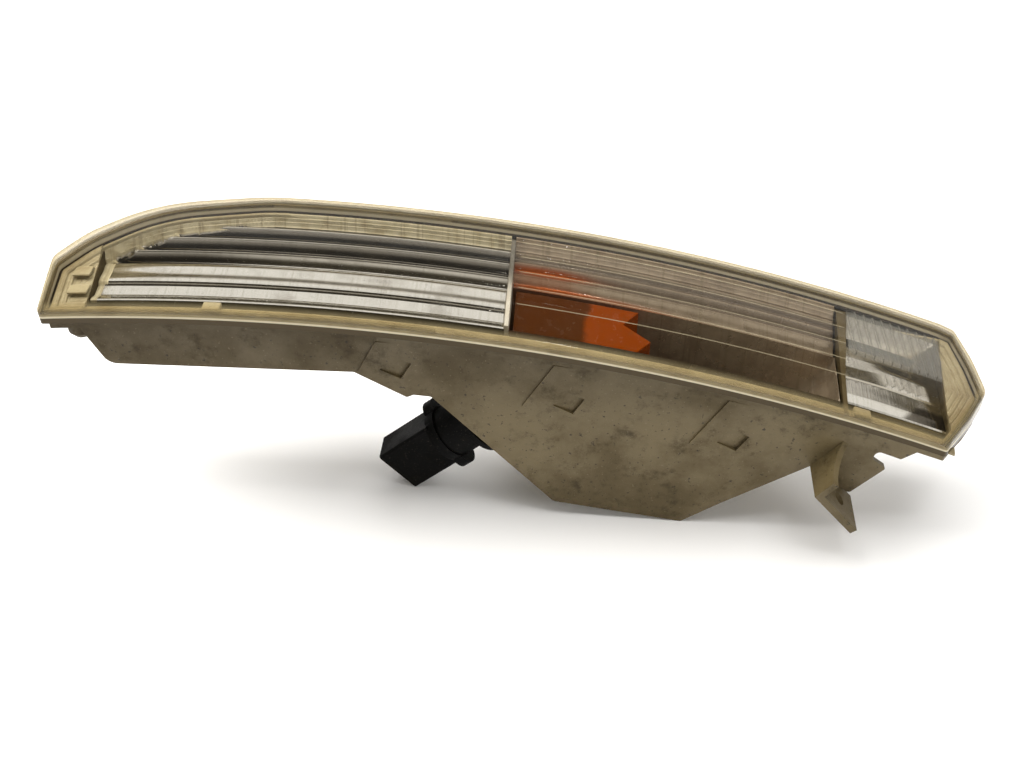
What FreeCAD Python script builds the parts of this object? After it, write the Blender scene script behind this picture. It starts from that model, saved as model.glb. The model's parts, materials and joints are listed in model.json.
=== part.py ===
import FreeCAD, Part
import math
import os

# Front turn signal lamp, millimetres.
# X runs along the lamp, Y from the lower wall to the upper wall, Z from the back out through the lens.

# Overall face of the lamp
LENS_LEFT = -279.4
LENS_TIP = 130.9
LENS_LOW = -1.2
LENS_HIGH = 60.0
ARC_X = -196.3
ARC_Z = -793.7
RIM_R = 899.0
LEAN = 0.30
SKIRT = 7.5
CROWN = 2.0
LENS_WALL = 2.2
LENS_EDGE = 1.8
FLUTES = 5
FLUTE_FIRST = 18.0
FLUTE_STEP = 8.0
FLUTE_DEEP = 0.9

# Housing walls and flange
FIT = 0.3
WALL = 2.0
WALL_INSET = 1.2
FLANGE_INSET = 0.6
FLANGE_THICK = 3.0
FLANGE_LEFT = LENS_LEFT + 3.9
OPENING_LEFT = LENS_LEFT + 18.4
OPENING_RIGHT = LENS_TIP - 18.4
DEEP_END = 66.0
LOW_WALL = LENS_LOW + WALL_INSET
HIGH_WALL = LENS_HIGH - WALL_INSET

# Slanted wall that carries the bulb holder
SLANT_TOP = (-113.9, 70.1)
SLANT_FOOT = (-59.4, 8.8)
PORT_ALONG = 32.0
PORT_Y = 19.5
NECK_R = 14.0
NECK_GAP = 0.4
LUG_R = 16.8
LUG_THICK = 2.2
LUG_GAP = 0.4
LUG_WIDE = 9.0
TWIST = 45.0

# Bulb holder outside the wall
SEAL_THICK = 1.6
SEAL_WIDE = 3.5
HOLDER_FLANGE_R = NECK_R + SEAL_WIDE + 1.0
HOLDER_FLANGE_THICK = 2.8
HOLDER_BODY_R = 13.0
GRIP_FRONT = 20.4
GRIP_THICK = 5.0
GRIP_TIP = 17.5
GRIP_TURN = 29.0
LOBE_R = 6.0
SHROUD_WIDE = 25.0
SHROUD_HIGH = 15.0
SHROUD_END = 55.33
SHROUD_WALL = 1.7
SHROUD_DEEP = 22.0

# Raised pads (step top, step foot, run) and ramped pockets on the lower wall
PADS = ((-134.0, 104.0, -145.0, 82.6, 26), (-59.4, 94.3, -74.3, 67.9, 30), (13.3, 76.3, -0.8, 51.1, 32))
PAD_RISE = 0.9
POCKETS = ((-124.0, 84.0), (-49.8, 68.7), (22.4, 51.8))
POCKET_DEEP = 1.4

# Bracket with the fixing hole
TAB_ROOT = (53.4, 40.4)
TAB_TIP = (72.3, 18.9)
TAB_THICK = 3.4
TAB_STAND = 19.0
HOLE_R = 3.25
HOLE_ALONG = 16.5
HOLE_Y = -9.0
WEB_DIR = 54.0
WEB_THICK = 3.0
WEB_LONG = 20.0
WEB_FRONT = 11.0
PLATE_THICK = 2.6

# Locating peg under the left end
PEG_X = -265.5
PEG_Y = 6.6
PEG_R = 5.6
PEG_Z = 91.0
PEG_NOSE = 3.0

# Chambers
DIVIDER_X = -82.0
DIVIDER_THICK = 2.0
SHELL = 1.3
FLUTE_END = 66.0
TRAY_LOW = 11.0
TRAY_INSET = 4.6
TRAY_LEFT = OPENING_LEFT + FIT
SHELF_Y = 36.2
SHELF_LIFT = -5.0
PRISM_LOW = 35.0
PRISM_HIGH = 52.5
PRISM_STEP = 4.2
PRISM_RIDGES = 10
FILTER_HIGH = 33.0

# Bulb, the mouth it passes through and the vent
BULB_R = 7.7
BULB_TIP = 42.0
BULB_FOOT = 7.0
GLASS_WALL = 0.9
MOUTH_R = 8.4
VENT_X = -205.0
VENT_Y = 32.0
VENT_Z = 80.9
VENT_R = 4.2

V = FreeCAD.Vector
UP_Y = V(0, 1, 0)


def ray(angle):
    # unit vector in the XZ plane, angle from +X towards +Z
    a = math.radians(angle)
    return V(math.cos(a), 0, math.sin(a))


def rounded(points, plane):
    # closed wire through corner points (a, b, radius) with tangent arcs
    def lift(a, b):
        if plane == "xy":
            return V(a, b, 0)
        if plane == "xz":
            return V(a, 0, b)
        return V(ARC_X, a, ARC_Z + b)

    count = len(points)
    starts = []
    ends = []
    mids = []
    for i in range(count):
        a, b, r = points[i]
        pa = points[i - 1]
        pc = points[(i + 1) % count]
        here = V(a, b, 0)
        back = V(pa[0], pa[1], 0) - here
        on = V(pc[0], pc[1], 0) - here
        back.normalize()
        on.normalize()
        if r <= 0:
            starts.append(here)
            ends.append(here)
            mids.append(None)
            continue
        half = back.getAngle(on) / 2
        reach = r / math.tan(half)
        first = here + back * reach
        last = here + on * reach
        mean = (back + on)
        mean.normalize()
        centre = here + mean * (r / math.sin(half))
        starts.append(first)
        ends.append(last)
        mids.append(centre - mean * r)
    edges = []
    for i in range(count):
        if mids[i] is not None:
            p = lift(starts[i].x, starts[i].y)
            q = lift(mids[i].x, mids[i].y)
            s = lift(ends[i].x, ends[i].y)
            edges.append(Part.Arc(p, q, s).toShape())
        nxt = (i + 1) % count
        p = lift(ends[i].x, ends[i].y)
        q = lift(starts[nxt].x, starts[nxt].y)
        if p.distanceToPoint(q) > 1e-6:
            edges.append(Part.LineSegment(p, q).toShape())
    return Part.Wire(edges)


def grown(wire, amount):
    # the same outline moved outwards, or inwards when amount is negative
    return wire.makeOffset2D(amount)


def tall(wire, z0=-60.0, z1=220.0):
    # prism along Z over an XY outline
    face = Part.Face(wire)
    face.translate(V(0, 0, z0))
    return face.extrude(V(0, 0, z1 - z0))


def deep(wire, y0, y1):
    # prism along Y over an XZ outline
    face = Part.Face(wire)
    face.translate(V(0, y0, 0))
    return face.extrude(V(0, y1 - y0, 0))


def slab(x0, x1):
    # everything between two places along the lamp
    return Part.makeBox(x1 - x0, 200, 500, V(x0, -60, -100))


def swung(points, left=-8.0, right=24.0):
    # section (y, radius, corner) swung about the axis of the lens arc
    face = Part.Face(rounded(points, "yr"))
    centre = V(ARC_X, 0, ARC_Z)
    face.rotate(centre, UP_Y, left)
    return face.revolve(centre, UP_Y, right - left)


def x_angle(x, r=RIM_R):
    # swing angle at which a point of radius r stands at x
    return math.degrees(math.asin((x - ARC_X) / r))


def rim(y, lift=0.0):
    # radius of the joint surface at height y, plus a lift towards the lens
    return RIM_R + LEAN * y + lift


def cylinder(r, h, foot, axis):
    return Part.makeCylinder(r, h, foot, axis)


def box_on(centre, along, across, normal, sizes):
    # box with its own three directions, centred on a point
    a, b, c = sizes
    body = Part.makeBox(a, b, c, V(-a / 2, -b / 2, -c / 2))
    m = FreeCAD.Matrix(along.x, across.x, normal.x, centre.x,
                       along.y, across.y, normal.y, centre.y,
                       along.z, across.z, normal.z, centre.z,
                       0, 0, 0, 1)
    body.Placement = FreeCAD.Placement(m)
    return body


def fused(first, *others):
    return first.fuse(list(others)).removeSplitter()


LENS_FACE = rounded([
    (LENS_LEFT, LENS_LOW, 2),
    (LENS_LEFT, 25.3, 6),
    (LENS_LEFT + 12.9, LENS_HIGH - 22.2, 50),
    (LENS_LEFT + 39.4, LENS_HIGH - 6.6, 90),
    (LENS_LEFT + 89.4, LENS_HIGH, 120),
    (LENS_TIP - 18.9, LENS_HIGH, 0),
    (LENS_TIP - 11.5, LENS_HIGH - 1.0, 3),
    (LENS_TIP - 4.7, LENS_HIGH - 15.0, 40),
    (LENS_TIP, LENS_LOW + 31.6, 5),
    (LENS_TIP - 8.9, LENS_LOW + 16.8, 60),
    (LENS_TIP - 21.5, LENS_LOW, 2),
], "xy")

BACK = rounded([
    (-263.0, 230.0, 0),
    (-263.0, 99.0, 3),
    (-254.5, 80.0, 6),
    (-146.7, 82.0, 2),
    (-124.5, 69.0, 1),
    (-121.5, 70.6, 1),
    (SLANT_TOP[0], SLANT_TOP[1], 2),
    (SLANT_FOOT[0], SLANT_FOOT[1], 3),
    (-18.8, 2.8, 40),
    (0.0, 0.0, 1.5),
    (17.0, 13.6, 60),
    (TAB_ROOT[0], TAB_ROOT[1], 2),
    (DEEP_END, 57.4, 2),
    (DEEP_END, 230.0, 0),
], "xz")

SLANT = V(SLANT_FOOT[0] - SLANT_TOP[0], 0, SLANT_FOOT[1] - SLANT_TOP[1])
SLANT.normalize()
INWARD = V(-SLANT.z, 0, SLANT.x)
PORT = V(SLANT_TOP[0], PORT_Y, SLANT_TOP[1]) + SLANT * PORT_ALONG


def on_port(depth):
    # point on the holder's axis, depth counted inwards from the wall's outer face
    return PORT + INWARD * depth


def above(lift):
    # everything in front of the joint surface raised by lift
    return swung([(-40, rim(-40, lift), 0), (100, rim(100, lift), 0), (100, 1150, 0), (-40, 1150, 0)])


def catch_pockets():
    # ramped pockets of the lower wall, deepest at their right side
    cuts = []
    for x, z in POCKETS:
        ramp = Part.Face(Part.makePolygon([V(-10, -1, 0), V(0, -1, 0), V(0, POCKET_DEEP, 0),
                                           V(-10, 0, 0), V(-10, -1, 0)]))
        ramp = ramp.extrude(V(0, 0, 10))
        ramp.translate(V(0, 0, -5))
        ramp.rotate(V(0, 0, 0), UP_Y, 29)
        ramp.translate(V(x, 0, z))
        cuts.append(ramp)
    return cuts


def pads():
    # raised pads on the lower wall, each a wedge that starts at a leaning step and fades to the right
    made = []
    for x0, z0, x1, z1, run in PADS:
        lean = V(x0 - x1, 0, z0 - z1) * 1.5
        foot = V(x1, 0, z1)
        wedge = Part.Face(Part.makePolygon([foot + V(0, 0.2, 0), foot - UP_Y * PAD_RISE,
                                            foot + V(run, 0.1, -0.22 * run), foot + V(0, 0.2, 0)]))
        made.append(wedge.extrude(lean))
    return [pad.cut(above(-FLANGE_THICK + 0.01)) for pad in made]


def tab_frame():
    # root, direction, outward normal and length of the tab
    root = V(TAB_ROOT[0], 0, TAB_ROOT[1])
    along = V(TAB_TIP[0], 0, TAB_TIP[1]) - root
    long = along.Length
    along.normalize()
    return root, along, V(-along.z, 0, along.x), long


def hole_centre():
    # middle of the fixing hole, halfway through the tab
    root, along, out, long = tab_frame()
    return root + along * HOLE_ALONG + V(0, HOLE_Y, 0) + out * (TAB_THICK / 2)


def bracket():
    # standing web, tab with the fixing hole and the notched plate beside it
    root, along, out, long = tab_frame()
    tab = box_on(root + along * (long / 2) + out * (TAB_THICK / 2) + V(0, (WALL - TAB_STAND) / 2, 0),
                 along, UP_Y, out, (long, TAB_STAND + WALL, TAB_THICK))
    up = ray(WEB_DIR)
    side = V(up.z, 0, -up.x)
    far = root + up * WEB_LONG
    front = root + up * WEB_FRONT - UP_Y * TAB_STAND
    bend = root + up * (WEB_FRONT + 2.4) - UP_Y * (TAB_STAND * 0.45)
    edge = Part.Wire([
        Part.LineSegment(root + UP_Y, root - UP_Y * TAB_STAND).toShape(),
        Part.LineSegment(root - UP_Y * TAB_STAND, front).toShape(),
        Part.Arc(front, bend, far).toShape(),
        Part.LineSegment(far, far + UP_Y).toShape(),
        Part.LineSegment(far + UP_Y, root + UP_Y).toShape(),
    ])
    web = Part.Face(edge).extrude(side * WEB_THICK)
    plate = deep(rounded([
        (TAB_ROOT[0], TAB_ROOT[1], 0), (73.0, 24.9, 1.5), (86.3, 41.4, 1.2), (79.2, 46.8, 2.2),
        (80.6, 51.6, 2.2), (91.5, 47.4, 1.0), (98.6, 53.0, 1.0), (99.0, 70.0, 0), (64.0, 80.0, 0)], "xz"), LOW_WALL, PLATE_THICK)
    plate = plate.cut(above(-FLANGE_THICK + 0.01))
    body = fused(tab, web, plate)
    return body, cylinder(HOLE_R, TAB_THICK + 4, hole_centre() - out * (TAB_THICK / 2 + 2), out)


def tip_floor(lift):
    # sloping floor behind the right end, raised by lift
    return swung([(-3, rim(-3, 30), 0), (-3, rim(-3, lift - 2.6), 0), (64, rim(64, lift - 17.6), 0),
                  (64, rim(64, 30), 0)], x_angle(DEEP_END - WALL), 24)


def housing():
    face = grown(LENS_FACE, -WALL_INSET)
    body = deep(BACK, LOW_WALL, HIGH_WALL).common(tall(face))
    body = body.fuse(tip_floor(0).common(tall(face))).cut(above(-FLANGE_THICK + 0.01))
    inner = grown(LENS_FACE, -WALL_INSET - WALL)
    mouth = tall(inner).common(slab(OPENING_LEFT, OPENING_RIGHT))
    flange = tall(grown(LENS_FACE, -FLANGE_INSET)).cut(above(0)).common(above(-FLANGE_THICK))
    flange = flange.common(slab(FLANGE_LEFT, LENS_TIP))
    tray, hole = bracket()
    peg = fused(cylinder(PEG_R, 20.0, V(PEG_X, PEG_Y, PEG_Z + PEG_NOSE), V(0, 0, 1)),
                Part.makeCone(PEG_R - 2.2, PEG_R, PEG_NOSE, V(PEG_X, PEG_Y, PEG_Z), V(0, 0, 1)))
    body = body.fuse([flange, tray, peg.cut(above(-0.5))] + pads())
    hollow = deep(grown(BACK, -WALL), LOW_WALL + WALL, HIGH_WALL - WALL).common(mouth)
    end_hollow = tip_floor(WALL).common(mouth).common(slab(DEEP_END, LENS_TIP))
    body = body.cut([hollow, end_hollow, hole] + catch_pockets())
    cuts = [cylinder(NECK_R + NECK_GAP, WALL + 4, on_port(-2), INWARD)]
    for k in range(3):
        slot = box_on(on_port(WALL / 2) + SLANT * (LUG_R / 2), SLANT, UP_Y, INWARD,
                      (LUG_R + 0.8, LUG_WIDE + 1.2, WALL + 4))
        slot.rotate(PORT, INWARD, TWIST + 120 * k)
        cuts.append(slot)
    cuts.append(cylinder(VENT_R, 6, V(VENT_X, VENT_Y, VENT_Z - 3), V(0, 0, 1)))
    return body.cut(cuts).removeSplitter()


def lens_section(wall, foot):
    # section of the crowned face with rounded long edges, less a wall, down to a foot lift
    low = LENS_LOW + wall
    high = LENS_HIGH - wall
    corner = max(LENS_EDGE - wall, 0.4)

    def place(y, lift):
        return V(ARC_X, y, ARC_Z + rim(y, lift))

    face = [place(low + corner, SKIRT - wall + crown_at(low + corner)),
            place((low + high) / 2, SKIRT - wall + CROWN),
            place(high - corner, SKIRT - wall + crown_at(high - corner))]
    turn = 0.293 * corner
    low_side = [place(low, SKIRT - wall - corner + crown_at(low)), place(low + turn, SKIRT - wall - turn + crown_at(low))]
    high_side = [place(high, SKIRT - wall - corner + crown_at(high)), place(high - turn, SKIRT - wall - turn + crown_at(high))]
    feet = [place(high, foot), place(low, foot)]
    section = Part.Wire([
        Part.Arc(low_side[0], low_side[1], face[0]).toShape(),
        Part.Arc(face[0], face[1], face[2]).toShape(),
        Part.Arc(face[2], high_side[1], high_side[0]).toShape(),
        Part.LineSegment(high_side[0], feet[0]).toShape(),
        Part.LineSegment(feet[0], feet[1]).toShape(),
        Part.LineSegment(feet[1], low_side[0]).toShape(),
    ])
    centre = V(ARC_X, 0, ARC_Z)
    profile = Part.Face(section)
    profile.rotate(centre, UP_Y, -8)
    return profile.revolve(centre, UP_Y, 32)


def lens():
    # outer form less an inner one, with five flutes under the face of the right chamber
    outer = lens_section(0.0, 0.0).common(tall(LENS_FACE))
    inner = lens_section(LENS_WALL, -6.0).common(tall(grown(LENS_FACE, -LENS_WALL)))
    body = outer.cut(inner)
    ribs = []
    for k in range(FLUTES):
        y = FLUTE_FIRST + k * FLUTE_STEP
        peak = rim(y, SKIRT - LENS_WALL + crown_at(y))
        ribs.append(swung([(y - 1.1, peak + 0.6, 0), (y + 1.1, peak + 0.9, 0), (y + 0.2, peak - FLUTE_DEEP, 0)],
                          x_angle(DIVIDER_X + 4), x_angle(FLUTE_END)))
    return body.fuse(ribs).removeSplitter()


def crown_at(y):
    # rise of the crowned lens over the straight lean at height y
    t = (y - LENS_LOW) / (LENS_HIGH - LENS_LOW)
    return 4 * CROWN * t * (1 - t)


def lens_seal():
    # bead in the corner between the lens skirt and the flange
    ring = tall(grown(LENS_FACE, -LENS_WALL)).cut(tall(grown(LENS_FACE, -LENS_WALL - 1.0)))
    return ring.common(above(0)).cut(above(1.8))


def tub(points, thick):
    # curved strip following a line of (y, lift) points, thick towards the back
    top = [(y, rim(y, lift), 0) for y, lift in points]
    low = [(y, rim(y, lift - thick), 0) for y, lift in reversed(points)]
    return top + low


def scoops(points, left_ends, x_right):
    # lengthwise grooves between neighbouring crest points, each of short chords with a round left end
    cuts = []
    centre = V(ARC_X, 0, ARC_Z)
    for (ya, la), (yb, lb), x_left in zip(points[:-1], points[1:], left_ends):
        a = V(0, ya, rim(ya, la))
        b = V(0, yb, rim(yb, lb))
        half = (b - a).Length / 2
        across = (b - a).normalize()
        out = V(0, -across.z, across.y)
        mid = (a + b) / 2
        start = x_angle(x_left, mid.z)
        shape = [(1.0, 0.0), (0.72, -0.62), (0.28, -0.95)]
        floor = [mid + across * (half * u) + out * (2 * half * SCOOP_SAG * v) for u, v in shape]
        floor += [mid - across * (half * u) + out * (2 * half * SCOOP_SAG * v) for u, v in reversed(shape)]
        lid = [p + out * 12.0 for p in (floor[-1], floor[0])]
        cuts.append(swung([(p.y, p.z, 0) for p in floor + lid], start, x_angle(x_right, mid.z)))
        core = mid + out * 12.0
        half_section = floor[:3] + [mid - out * (2 * half * SCOOP_SAG * 0.95), core, floor[0] + out * 12.0]
        lifted = [centre + V(0, p.y, p.z) for p in half_section]
        cup = Part.Face(Part.makePolygon(lifted + lifted[:1])).revolve(centre + V(0, core.y, core.z), out, 360)
        cup.rotate(centre, UP_Y, start)
        cuts.append(cup)
    return cuts


SCOOP_SAG = 0.38
SCOOP_PLATE = 4.2
SCOOP_ENDS = (-253.0, -243.0, -228.0, -209.0)
TRAY_HIGH = LENS_HIGH - TRAY_INSET
BAND = [(TRAY_LOW + 1.0, -0.8), (17.0, -3.2), (24.0, -4.0), (25.2, -2.8), (SHELF_Y, SHELF_LIFT)]
CRESTS = [(SHELF_Y, SHELF_LIFT), (43.0, -4.4), (49.2, -3.2), (53.0, -1.6), (TRAY_HIGH, -0.4)]


def tray_lip(foot):
    # upright lower edge of a tray, from a foot lift up to just under the joint surface
    y0 = TRAY_LOW
    y1 = TRAY_LOW + SHELL + 0.1
    return swung([(y0, rim(y0, foot), 0), (y1, rim(y1, foot), 0), (y1, rim(y1, -0.8), 0), (y0, rim(y0, -0.8), 0)])


def silver_reflector():
    # plate with a smooth strip, a flat band and four finger scoops above them
    right = DIVIDER_X - DIVIDER_THICK / 2
    low = swung(tub(BAND, SHELL), -8, x_angle(right + 6))
    high = swung(tub(CRESTS, SCOOP_PLATE), -8, x_angle(right + 6))
    plan = tall(grown(LENS_FACE, -TRAY_INSET)).common(slab(TRAY_LEFT, right))
    lip = tray_lip(-6.0)
    body = low.fuse([high, lip]).common(plan)
    for groove in scoops(CRESTS, SCOOP_ENDS, right + 6):
        body = body.cut(groove)
    return body.removeSplitter()


BOWL_LEFT = DIVIDER_X + DIVIDER_THICK / 2 + SHELL
BOWL_RIGHT = DEEP_END - WALL - 1.2 - SHELL
BOWL = [(BOWL_LEFT, 230.0, 0), (BOWL_LEFT, 77.0, 3), (-85.8, 68.6, 1), (-68.5, 49.1, 4), (-48.0, 22.0, 12),
        (-6.0, 9.0, 14), (30.0, 31.0, 40), (55.5, 56.0, 10), (BOWL_RIGHT, 66.0, 2), (BOWL_RIGHT, 230.0, 0)]


def amber_reflector():
    # deep bowl with a round mouth for the bulb, and the scoops of the left chamber carried on above it
    wire = rounded(BOWL, "xz")
    bowl = deep(grown(wire, SHELL), TRAY_LOW - SHELL, SHELF_Y + SHELL).cut(above(-0.8))
    bowl = bowl.cut(deep(wire, TRAY_LOW, SHELF_Y))
    roof = swung([(SHELF_Y - 0.01, rim(SHELF_Y, SHELF_LIFT), 0), (60, rim(60, SHELF_LIFT), 0),
                  (60, rim(60, 20), 0), (SHELF_Y - 0.01, rim(SHELF_Y, 20), 0)])
    band = slab(DIVIDER_X + DIVIDER_THICK / 2, DEEP_END - WALL - 1.2)
    plate = swung(tub(CRESTS, SCOOP_PLATE), x_angle(DIVIDER_X - 8), x_angle(DEEP_END + 9)).common(band)
    body = bowl.cut(roof).common(band.fuse(deep(grown(wire, SHELL), 0, 60))).fuse(plate)
    start = DIVIDER_X - 18
    for groove in scoops(CRESTS, (start, start, start, start), DEEP_END + 9):
        body = body.cut(groove)
    plan = tall(grown(LENS_FACE, -TRAY_INSET))
    return body.common(plan).cut(cylinder(MOUTH_R, 30, on_port(5), INWARD)).removeSplitter()


def end_mirror():
    # faceted dish under the right end of the lens
    steps = [(TRAY_LOW + 1.0, -0.8), (18.0, -3.0), (27.0, -4.8), (27.6, -3.6), (40.0, -7.4), (40.6, -5.6),
             (52.0, -9.0), (TRAY_HIGH, -0.4)]
    plan = tall(grown(LENS_FACE, -TRAY_INSET)).common(slab(DEEP_END + FIT, OPENING_RIGHT - FIT))
    return swung(tub(steps, SHELL)).fuse(tray_lip(-3.2)).common(plan).removeSplitter()


def side_prism():
    # clear plate under the right end of the lens with leaning ridges
    y0 = PRISM_LOW
    y1 = PRISM_HIGH
    area = tall(grown(LENS_FACE, -TRAY_INSET - FIT)).common(slab(DEEP_END + 2.0, OPENING_RIGHT - FIT))
    plate = swung([(y0, rim(y0, 0.8), 0), (y1, rim(y1, 0.8), 0), (y1, rim(y1, 2.2), 0), (y0, rim(y0, 2.2), 0)])
    plate = plate.common(area)
    band = swung([(y0, rim(y0, 2.0), 0), (y1, rim(y1, 2.0), 0), (y1, rim(y1, 3.3), 0), (y0, rim(y0, 3.3), 0)])
    band = band.common(area)
    ridges = []
    for k in range(PRISM_RIDGES):
        x = DEEP_END + 7.0 + PRISM_STEP * k
        strip = rounded([(x, y0, 0), (x + 2.2, y0, 0), (x - 1.6, y1, 0), (x - 3.8, y1, 0)], "xy")
        ridges.append(band.common(tall(strip)))
    return plate.fuse([r for r in ridges if r.Volume > 0.5]).removeSplitter()


def end_trim(x0, x1):
    # terraced plate on the flange between the reflector and the end of the lens
    made = []
    for inset, low, high in ((LENS_WALL + 1.4, -0.01, 2.6), (LENS_WALL + 4.2, -0.01, 1.6), (LENS_WALL + 7.0, -0.01, 0.8)):
        made.append(tall(grown(LENS_FACE, -inset)).common(above(0)).cut(above(high)))
    body = made[0].cut(tall(grown(LENS_FACE, -LENS_WALL - 4.2)))
    body = body.fuse([made[1].cut(tall(grown(LENS_FACE, -LENS_WALL - 7.0))), made[2]])
    return body.common(slab(x0, x1)).removeSplitter()


def divider():
    # upright wall between the two chambers
    x0 = DIVIDER_X - DIVIDER_THICK / 2
    wall = Part.makeBox(DIVIDER_THICK - 0.05, TRAY_HIGH - TRAY_LOW, 120, V(x0 + 0.02, TRAY_LOW, 82.0))
    return wall.cut(above(1.2))


def amber_filter():
    # box-shaped cap in front of the bulb, open at the back, with a notched right end
    y0 = TRAY_LOW + FIT
    y1 = FILTER_HIGH
    x0 = DIVIDER_X + DIVIDER_THICK / 2 + SHELL + FIT
    plan = rounded([(x0, y0, 0), (x0, y1, 0), (x0 + 53.7, y1, 0), (x0 + 47.2, y1 - 7.5, 0),
                    (x0 + 59.2, y1 - 13.5, 0), (x0 + 51.7, y0, 0)], "xy")
    outer = tall(plan).common(above(-17.0)).cut(above(-3.2))
    inner = tall(grown(plan, -1.3)).common(above(-30.0)).cut(above(-4.5))
    return outer.cut(inner)


def holder():
    # bayonet neck, flange, body, two-lobed grip and open connector shroud
    tip = WALL + LUG_GAP + LUG_THICK
    back = -SEAL_THICK - HOLDER_FLANGE_THICK
    neck = cylinder(NECK_R, tip - back, on_port(back), INWARD)
    flange = cylinder(HOLDER_FLANGE_R, HOLDER_FLANGE_THICK, on_port(back), INWARD)
    body = cylinder(HOLDER_BODY_R, GRIP_FRONT + back, on_port(-GRIP_FRONT), INWARD)
    grip = cylinder(HOLDER_BODY_R + 0.6, GRIP_THICK, on_port(-GRIP_FRONT - GRIP_THICK), INWARD)
    lobes = []
    for side in (-1, 1):
        spot = on_port(-GRIP_FRONT - GRIP_THICK) + SLANT * (side * (GRIP_TIP - LOBE_R))
        lobe = cylinder(LOBE_R, GRIP_THICK, spot, INWARD)
        lobe.rotate(PORT, INWARD, -GRIP_TURN)
        lobes.append(lobe)
    lugs = []
    for k in range(3):
        lug = box_on(on_port(WALL + LUG_GAP + LUG_THICK / 2) + SLANT * (LUG_R / 2), SLANT, UP_Y, INWARD,
                     (LUG_R, LUG_WIDE, LUG_THICK))
        lug = lug.common(cylinder(LUG_R, 20, on_port(-5), INWARD))
        lug.rotate(PORT, INWARD, 120 * k)
        lugs.append(lug)
    long = SHROUD_END - GRIP_FRONT - GRIP_THICK + 1.0
    mid = -(SHROUD_END + GRIP_FRONT + GRIP_THICK - 1.0) / 2
    shroud = box_on(on_port(mid), SLANT, UP_Y, INWARD, (SHROUD_WIDE, SHROUD_HIGH, long))
    shroud = shroud.makeFillet(1.4, [e for e in shroud.Edges if abs(e.tangentAt(e.FirstParameter).dot(INWARD)) > 0.99])
    latch = box_on(on_port(-SHROUD_END + 8.0) + UP_Y * (SHROUD_HIGH / 2 + 0.7), SLANT, UP_Y, INWARD, (7.0, 1.6, 4.0))
    whole = fused(neck, flange, body, grip, shroud, latch, *lobes, *lugs)
    socket = box_on(on_port(-SHROUD_END + SHROUD_DEEP / 2), SLANT, UP_Y, INWARD,
                    (SHROUD_WIDE - 2 * SHROUD_WALL, SHROUD_HIGH - 2 * SHROUD_WALL, SHROUD_DEEP + 0.01))
    seat = cylinder(NECK_R - 2.4, tip + 11.0, on_port(-11.0), INWARD)
    wedge = box_on(on_port(-14.0), SLANT, UP_Y, INWARD, (17.0, 7.0, 8.0))
    return whole.cut([socket, seat, wedge]).removeSplitter()


def holder_seal():
    ring = cylinder(NECK_R + SEAL_WIDE, SEAL_THICK, on_port(-SEAL_THICK), INWARD)
    return ring.cut(cylinder(NECK_R, 5, on_port(-4), INWARD))


def contact(index):
    # flat blade standing in the connector shroud
    side = (index - 1) * 6.4
    foot = -(SHROUD_END - SHROUD_DEEP)
    blade = box_on(on_port(foot - 6.5) + SLANT * side, SLANT, UP_Y, INWARD, (2.8, 0.8, 13.0))
    return blade.makeChamfer(0.3, [e for e in blade.Edges if on_port(foot - 13.0).distanceToPoint(e.CenterOfMass) < 7.0
                                   and (e.CenterOfMass - on_port(foot)).dot(INWARD) < -12.9])


def bulb_base():
    # wedge base of the bulb with its collar and locking ribs
    wedge = box_on(on_port(-14.0 + 0.5), SLANT, UP_Y, INWARD, (16.4, 6.4, 7.0))
    collar = cylinder(NECK_R - 2.8, 8.0, on_port(-10.6), INWARD)
    throat = cylinder(BULB_R + 0.3, BULB_FOOT + 3.0, on_port(-3.0), INWARD)
    rib = box_on(on_port(0.0), SLANT, UP_Y, INWARD, (21.0, 3.0, 4.0))
    return fused(wedge, collar, throat, rib)


def bulb_form(r, foot):
    # round-ended envelope, its dome made of short cones
    points = [on_port(foot), on_port(foot) + UP_Y * r]
    for k in range(4):
        a = math.radians(30.0 * k)
        points.append(on_port(BULB_TIP - BULB_R + r * math.sin(a)) + UP_Y * (r * math.cos(a)))
    return Part.Face(Part.makePolygon(points + points[:1])).revolve(PORT, INWARD, 360)


def bulb_glass():
    # envelope with its sealed foot on the base
    return bulb_form(BULB_R, BULB_FOOT).cut(bulb_form(BULB_R - GLASS_WALL, BULB_FOOT + GLASS_WALL))


def filament(offset, depth):
    # coiled wire drawn as a slim square bar on two posts
    foot = BULB_FOOT + GLASS_WALL
    coil = box_on(on_port(depth) + UP_Y * offset, SLANT, UP_Y, INWARD, (6.6, 0.8, 0.8))
    posts = [box_on(on_port((depth + foot) / 2) + SLANT * s + UP_Y * offset, SLANT, UP_Y, INWARD,
                    (0.6, 0.6, depth - foot)) for s in (-3.0, 3.0)]
    return fused(coil, *posts)


def filament_bridge():
    return box_on(on_port(18.0), SLANT, UP_Y, INWARD, (8.4, 8.4, 2.2))


def vent_cap():
    # breather on the back of the shallow part
    foot = V(VENT_X, VENT_Y, VENT_Z - 3.4)
    stem = cylinder(VENT_R, 7.0, foot, V(0, 0, 1))
    cap = cylinder(VENT_R + 2.4, 3.2, foot, V(0, 0, 1))
    bore = cylinder(1.4, 4.0, foot + V(0, 0, 4.0), V(0, 0, 1))
    return fused(stem, cap).cut(bore)


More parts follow.
